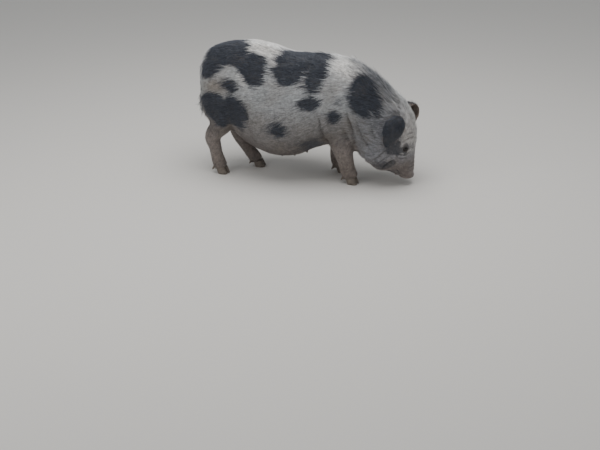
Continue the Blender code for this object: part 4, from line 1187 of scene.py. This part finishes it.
# for each region in the order of its number: spacing and width of the bristles in metres,
# their length against the skin's own, and how far they stand up and fan out
coat = {
    "rump right": (0.0042, 0.0011, 1.0, 0.10, 0.20), "rump left": (0.0043, 0.0011, 1.0, 0.10, 0.20),
    "loin right": (0.0042, 0.0011, 1.0, 0.08, 0.20), "loin left": (0.0043, 0.0011, 1.0, 0.08, 0.20),
    "flank right": (0.0042, 0.0011, 1.0, 0.08, 0.20), "flank left": (0.0043, 0.0011, 1.0, 0.08, 0.20),
    "shoulder right": (0.0042, 0.0011, 1.0, 0.09, 0.22), "shoulder left": (0.0043, 0.0011, 1.0, 0.09, 0.22),
    "neck right": (0.0041, 0.0011, 1.0, 0.11, 0.24), "neck left": (0.0042, 0.0011, 1.0, 0.11, 0.24),
    "face": (0.0032, 0.00065, 1.0, 0.14, 0.26), "ears": (0.0028, 0.00065, 1.0, 0.16, 0.28),
    "hind legs": (0.0031, 0.0007, 1.0, 0.09, 0.22), "fore legs": (0.0031, 0.0007, 1.0, 0.09, 0.22),
    "tail": (0.0028, 0.0009, 1.0, 0.18, 0.26), "crest": (0.0036, 0.0011, 1.5, 0.34, 0.26),
}


def growCoat():
    material = bristleMaterial()
    hairShape = bristlePair()
    tree, sockets = coatTree(hairShape, material)
    total = 0
    for number, (name, sizes) in enumerate(coat.items()):
        piece = linked(camel("coat " + name), skin.data)
        grow = piece.modifiers.new("flat bristles", "NODES")
        grow.node_group = tree
        values = dict(zip(("Spacing", "Width", "Length", "Lift", "Turn"), sizes))
        values.update({"Region": "zone", "Zone": number, "Seed": 40 + number})
        if name == "crest":
            values.update({"Region": "crest", "Zone": 1})      # it has a mask of its own, over the others
        for key, value in values.items():
            grow[sockets[key]] = value
        flattened(piece)
        total += len(piece.data.polygons)
        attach(piece, "root")
    bpy.data.objects.remove(hairShape)
    report(f"coat grown, {total} faces")


growCoat()

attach(skin, "root")


claw = {
    "grain": 0.0011,
    "rounds": {"hoof": 6, "dewclaw": 60},     # how often each is evened out
    "ringPitch": 0.0046,             # one ring of growth to the next
    "ringDepth": 0.00013,
    "ringSlope": 0.22,               # the rings sink towards the toe
    "horn": "#5d544d",
    "dark": "#453d38",
    "dust": "#8d8377",
    "soilPatch": 0.012,
    "scratches": (900, 900, 130),    # to a metre, across and down, drawn coarser than real ones
}


def hornMaterial():
    # unpolished horn: faint growth rings, worn and scratched, with dry soil on it
    material, tree = newMaterial("dusty hoof horn")
    point = addNode(tree, "ShaderNodeTexCoord").outputs["Object"]
    rings = addNode(tree, "ShaderNodeTexWave", {"bands_direction": "Z"}, {
        "Vector": point, "Scale": 1 / claw["ringPitch"] / 2, "Distortion": 2.0, "Detail": 3.0, "Detail Scale": 0.5,
    }).outputs["Fac"]
    colour = addNode(tree, "ShaderNodeMix", {"data_type": "RGBA"}, {
        "Factor": rings, 6: hexColour(claw["horn"]), 7: hexColour(claw["dark"]),
    }).outputs[2]
    soil = addNode(tree, "ShaderNodeTexNoise", inputs={
        "Vector": point, "Scale": 1 / claw["soilPatch"], "Detail": 6.0, "Roughness": 0.7,
    }).outputs["Fac"]
    soilShare = addNode(tree, "ShaderNodeMapRange", inputs={
        "Value": soil, "From Min": 0.30, "From Max": 0.80, "To Max": 0.85,
    }).outputs[0]
    colour = addNode(tree, "ShaderNodeMix", {"data_type": "RGBA"}, {
        "Factor": soilShare, 6: colour, 7: hexColour(claw["dust"]),
    }).outputs[2]
    scratched = addNode(tree, "ShaderNodeMapping", inputs={"Vector": point, "Scale": claw["scratches"]}).outputs[0]
    scratches = addNode(tree, "ShaderNodeTexNoise", inputs={
        "Vector": scratched, "Scale": 1.0, "Detail": 2.0,
    }).outputs["Fac"]
    bump = addNode(tree, "ShaderNodeBump", inputs={"Strength": 0.4, "Distance": 0.0005, "Height": scratches}).outputs[0]
    shader = addNode(tree, "ShaderNodeBsdfPrincipled", inputs={
        "Base Color": colour, "Roughness": 0.58, "IOR": 1.54, "Specular IOR Level": 0.4, "Normal": bump,
    })
    addNode(tree, "ShaderNodeOutputMaterial", inputs={"Surface": shader.outputs[0]})
    return material


def buildClaws():
    horn = hornMaterial()
    for name in sorted(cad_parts):
        kind = name.split("_")[0]
        if kind not in claw["rounds"]:
            continue
        bm = bmesh.new()
        bm.from_mesh(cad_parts[name].data)
        bmesh.ops.remove_doubles(bm, verts=bm.verts, dist=1e-5)
        mesh = bpy.data.meshes.new(camel(name))
        bm.to_mesh(mesh)
        bm.free()
        piece = voxelWelded(linked(camel(name), mesh), claw["grain"])
        mesh = piece.data
        places = vertexPlaces(mesh)
        soleLevel = places[:, 2].min()
        places = relaxed(places, edgePairs(mesh), 0.5, claw["rounds"][kind])
        setPlaces(mesh, places)
        level = places[:, 2] + claw["ringSlope"] * places[:, 0] + 0.0012 * waves(places, 0.02, 41)
        ring = np.sin(level * 2 * math.pi / claw["ringPitch"])
        normals = vertexNormals(mesh)
        upright = 1 - np.abs(normals[:, 2])
        places = places + normals * (claw["ringDepth"] * ring * upright)[:, None]
        if kind == "hoof":
            places[:, 2] = np.where(places[:, 2] < soleLevel + 0.0012, 0.0, places[:, 2])      # flat on the floor
        setPlaces(mesh, places)
        mesh.materials.clear()
        mesh.materials.append(horn)
        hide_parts(name)
        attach(piece, "root")
    report("claws shaped")


buildClaws()


def eyeMaterial():
    # a wet brown eye: dark pupil, brown iris, dull white that hardly shows
    material, tree = newMaterial("wet brown eye")
    turn = addNode(tree, "ShaderNodeAttribute", {"attribute_name": "fromAxis"}).outputs["Fac"]
    ramp = addNode(tree, "ShaderNodeValToRGB", inputs={"Fac": turn})
    stops = ramp.color_ramp.elements
    stops[0].position, stops[0].color = eye["pupil"] / 2, hexColour("#050505")
    stops[1].position, stops[1].color = eye["pupil"] / 2 + 0.02, hexColour("#21140c")
    for past, code in ((-0.03, "#2e1e12"), (0, "#0e0907"), (0.05, "#43352d")):
        stops.new(eye["iris"] / 2 + past).color = hexColour(code)
    shader = addNode(tree, "ShaderNodeBsdfPrincipled", inputs={
        "Base Color": ramp.outputs["Color"], "Roughness": 0.06, "IOR": 1.376,
        "Coat Weight": 0.3, "Coat Roughness": 0.03,
    })
    addNode(tree, "ShaderNodeOutputMaterial", inputs={"Surface": shader.outputs[0]})
    return material


def lidMaterial():
    # bare dark lid, finely wrinkled and darkest at its rim
    material, tree = newMaterial("bare eyelid hide")
    point = addNode(tree, "ShaderNodeTexCoord").outputs["Object"]
    cells = addNode(tree, "ShaderNodeTexVoronoi", {"feature": "DISTANCE_TO_EDGE"}, {
        "Vector": point, "Scale": 1 / 0.0012,
    }).outputs["Distance"]
    blotch = addNode(tree, "ShaderNodeTexNoise", inputs={
        "Vector": point, "Scale": 1 / 0.004, "Detail": 3.0,
    }).outputs["Fac"]
    fromRim = addNode(tree, "ShaderNodeAttribute", {"attribute_name": "fromRim"}).outputs["Fac"]
    uneven = addNode(tree, "ShaderNodeMath", {"operation": "MULTIPLY_ADD"}, {0: blotch, 1: 0.7, 2: -0.35}).outputs[0]
    reach = addNode(tree, "ShaderNodeMath", {"operation": "ADD"}, {0: fromRim, 1: uneven}).outputs[0]
    outward = addNode(tree, "ShaderNodeMapRange", {"interpolation_type": "SMOOTHSTEP"}, {
        "Value": reach, "From Min": 0.12, "From Max": 0.60,
    }).outputs[0]
    colour = addNode(tree, "ShaderNodeMix", {"data_type": "RGBA"}, {
        "Factor": outward, 6: hexColour(eye["lidRim"]), 7: hexColour(eye["lidOut"]),
    }).outputs[2]
    bump = addNode(tree, "ShaderNodeBump", inputs={"Strength": 0.5, "Distance": 0.0004, "Height": cells}).outputs[0]
    shader = addNode(tree, "ShaderNodeBsdfPrincipled", inputs={
        "Base Color": colour, "Roughness": 0.45, "IOR": 1.45, "Normal": bump,
    })
    addNode(tree, "ShaderNodeOutputMaterial", inputs={"Surface": shader.outputs[0]})
    return material


def opening(phi):
    # how far from the eye's axis the lids' almond opening reaches, in radians
    high = eye["openUp"] if math.sin(phi) > 0 else eye["openDown"]
    return ((abs(math.cos(phi)) / eye["openAcross"]) ** 1.6 + (abs(math.sin(phi)) / high) ** 1.6) ** (-1 / 1.6)


# the lids from the opening's edge out: share of the way to their outer edge, and radius; they end sunk in the hide
lidRings = (
    (0.00, eye["radius"] - 0.0004), (0.00, eye["radius"] + 0.0006),
    (0.03, eye["lidRadius"] + 0.0003), (0.10, eye["lidRadius"] + 0.0010),
    (0.20, eye["lidRadius"] + 0.0012), (0.28, eye["lidRadius"] + 0.0006),
    (0.38, eye["foldRadius"] - 0.0002), (0.50, eye["foldRadius"] + 0.0003),
    (0.60, eye["foldRadius"] - 0.0005), (0.72, eye["foldRadius"] + 0.0001),
    (0.85, eye["foldRadius"] - 0.0008), (1.00, eye["foldRadius"] - 0.0032),
    (1.00, eye["radius"] - 0.0008),
)


def buildEyes():
    wet, bare, lash = eyeMaterial(), lidMaterial(), bpy.data.materials["pig bristle"]
    for word, side in (("right", rightSide), ("left", leftSide)):
        centre = eyeCentre(word)
        axis, level, rise = eyeFrame(side)

        def spot(theta, phi, radius):
            aside = math.cos(phi) * level + math.sin(phi) * rise
            return centre + radius * (math.cos(theta) * axis + math.sin(theta) * aside)

        def loft(bm, count, columns, placeOf):
            # rings round the eye's axis, joined into a surface
            rings = []
            for i in range(count):
                rings.append([bm.verts.new(spot(*placeOf(i, 2 * math.pi * k / columns))) for k in range(columns)])
            for a, b in zip(rings, rings[1:]):
                for k in range(columns):
                    bm.faces.new((a[k], a[(k + 1) % columns], b[(k + 1) % columns], b[k]))
            return rings

        # eyeball, with a cornea that bulges in front
        bm = bmesh.new()
        fromAxis = bm.verts.layers.float.new("fromAxis")
        thetas = [0.04 + (math.pi - 0.08) * i / 40 for i in range(41)]

        def ballAt(i, phi):
            bulge = eye["cornea"] * math.exp(-(thetas[i] / (eye["iris"] * 0.9)) ** 4)
            return thetas[i], phi, eye["radius"] + bulge

        rings = loft(bm, len(thetas), 48, ballAt)
        for theta, ring in zip(thetas, rings):
            for v in ring:
                v[fromAxis] = theta / 2
        bm.faces.new(rings[0])
        bm.faces.new(rings[-1])
        ball = pieceFrom(bm, "eyeball " + word, wet, True)
        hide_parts("eye_" + word)
        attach(ball, "root")

        # lids: one shell with an almond opening
        def lidAt(i, phi):
            share, radius = lidRings[i]
            edge = opening(phi)
            wave = 0.00035 * math.sin(11 * phi + 2 * i) + 0.0002 * math.sin(23 * phi - i) if 4 < i < 11 else 0
            return edge + (eye["lidEdge"] - edge) * share, phi, radius + wave

        bm = bmesh.new()
        fromRim = bm.verts.layers.float.new("fromRim")
        rings = loft(bm, len(lidRings), 56, lidAt)
        for (share, radius), ring in zip(lidRings, rings):
            for v in ring:
                v[fromRim] = share
        for k in range(56):
            bm.faces.new((rings[-1][k], rings[-1][(k + 1) % 56], rings[0][(k + 1) % 56], rings[0][k]))
        lid = pieceFrom(bm, "eyelids " + word, bare, True)
        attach(lid, "root")

        # lashes along the upper lid, longest in the middle
        bm = bmesh.new()
        random = np.random.default_rng(60 + side)
        names = ("inside", "mixed", "pick", "speck", "tone", "along")
        layers = {name: bm.verts.layers.float.new(name) for name in names}
        last = eye["lashes"] - 1
        for k in range(eye["lashes"]):
            phi = math.radians(18 + 144 * (k + random.uniform(-0.3, 0.3)) / last)
            edge = opening(phi)
            root = spot(edge + 0.02, phi, eye["lidRadius"] + 0.0004)
            out = (root - centre).normalized()
            fan = (spot(edge + 0.5, phi, 1) - centre).normalized()
            size = eye["lashLength"] * (0.55 + 0.45 * math.sin(math.pi * k / last)) * random.uniform(0.8, 1.15)
            across = out.cross(fan).normalized()
            rings = []
            for t in (0.0, 0.35, 0.7):
                middle = root + out * size * (t - 0.25 * t * t) + fan * size * 0.45 * t * t - rise * size * 0.30 * t
                wide = eye["lashWidth"] * (1 - 0.7 * t)
                rings.append([
                    bm.verts.new(middle + across * wide * math.cos(a) + fan * wide * math.sin(a))
                    for a in (0.5, 2.6, 4.7)
                ])
            tip = bm.verts.new(root + out * size * 0.75 + fan * size * 0.45 - rise * size * 0.30)
            for a, b in zip(rings, rings[1:]):
                for j in range(3):
                    bm.faces.new((a[j], a[(j + 1) % 3], b[(j + 1) % 3], b[j]))
            for j in range(3):
                bm.faces.new((rings[-1][j], rings[-1][(j + 1) % 3], tip))
            bm.faces.new(rings[0])
            for v in [v for ring in rings for v in ring] + [tip]:
                for name, value in (("inside", 0.05), ("tone", 0.5), ("pick", 0.5), ("along", 0.3)):
                    v[layers[name]] = value
        lashes = pieceFrom(bm, "lashes " + word, lash, False)
        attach(lashes, "root")
    report("eyes and lids made")


buildEyes()


studio = {
    "paper": "#d9d5cf", "floorHalf": 120,
    "sky": "#e8ecf0", "skyStrength": 0.55,
    # each softbox: its place, its side in metres and its power in watts
    "softboxes": {
        "overhead softbox": ((0.1, -0.3, 2.8), 2.4, 62),
        "side softbox": ((-1.8, -2.2, 1.9), 1.6, 16),
    },
    "aim": (0, 0, 0.3),
    "lens": 55.2, "sensor": 36,
    "cameraPlace": (0.8919, -3.6987, 1.45),
    "cameraTurn": (math.radians(65.9), 0, math.radians(14)),
}


def buildStage():
    mesh = bpy.data.meshes.new("floor")
    half = studio["floorHalf"]
    mesh.from_pydata([(-half, -half, 0), (half, -half, 0), (half, half, 0), (-half, half, 0)], [], [(0, 1, 2, 3)])
    floor = linked("floor", mesh)
    paper, tree = newMaterial("pale studio paper")
    shader = addNode(tree, "ShaderNodeBsdfPrincipled", inputs={
        "Base Color": hexColour(studio["paper"]), "Roughness": 0.85,
    })
    addNode(tree, "ShaderNodeOutputMaterial", inputs={"Surface": shader.outputs[0]})
    mesh.materials.append(paper)
    world = bpy.data.worlds.new("studio")
    bpy.context.scene.world = world
    world.use_nodes = True
    background = world.node_tree.nodes["Background"]
    background.inputs["Color"].default_value = hexColour(studio["sky"])
    background.inputs["Strength"].default_value = studio["skyStrength"]
    for name, (place, size, power) in studio["softboxes"].items():
        light = bpy.data.lights.new(name, "AREA")
        light.size = size
        light.energy = power
        lamp = linked(name, light)
        lamp.location = place
        lamp.rotation_euler = (Vector(studio["aim"]) - Vector(place)).to_track_quat("-Z", "Y").to_euler()
    view = bpy.data.cameras.new("camera")
    view.lens = studio["lens"]
    view.sensor_width = studio["sensor"]
    camera = linked("camera", view)
    camera.location = studio["cameraPlace"]
    camera.rotation_euler = studio["cameraTurn"]
    bpy.context.scene.camera = camera
    report("stage set")


buildStage()

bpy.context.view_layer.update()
report("done")
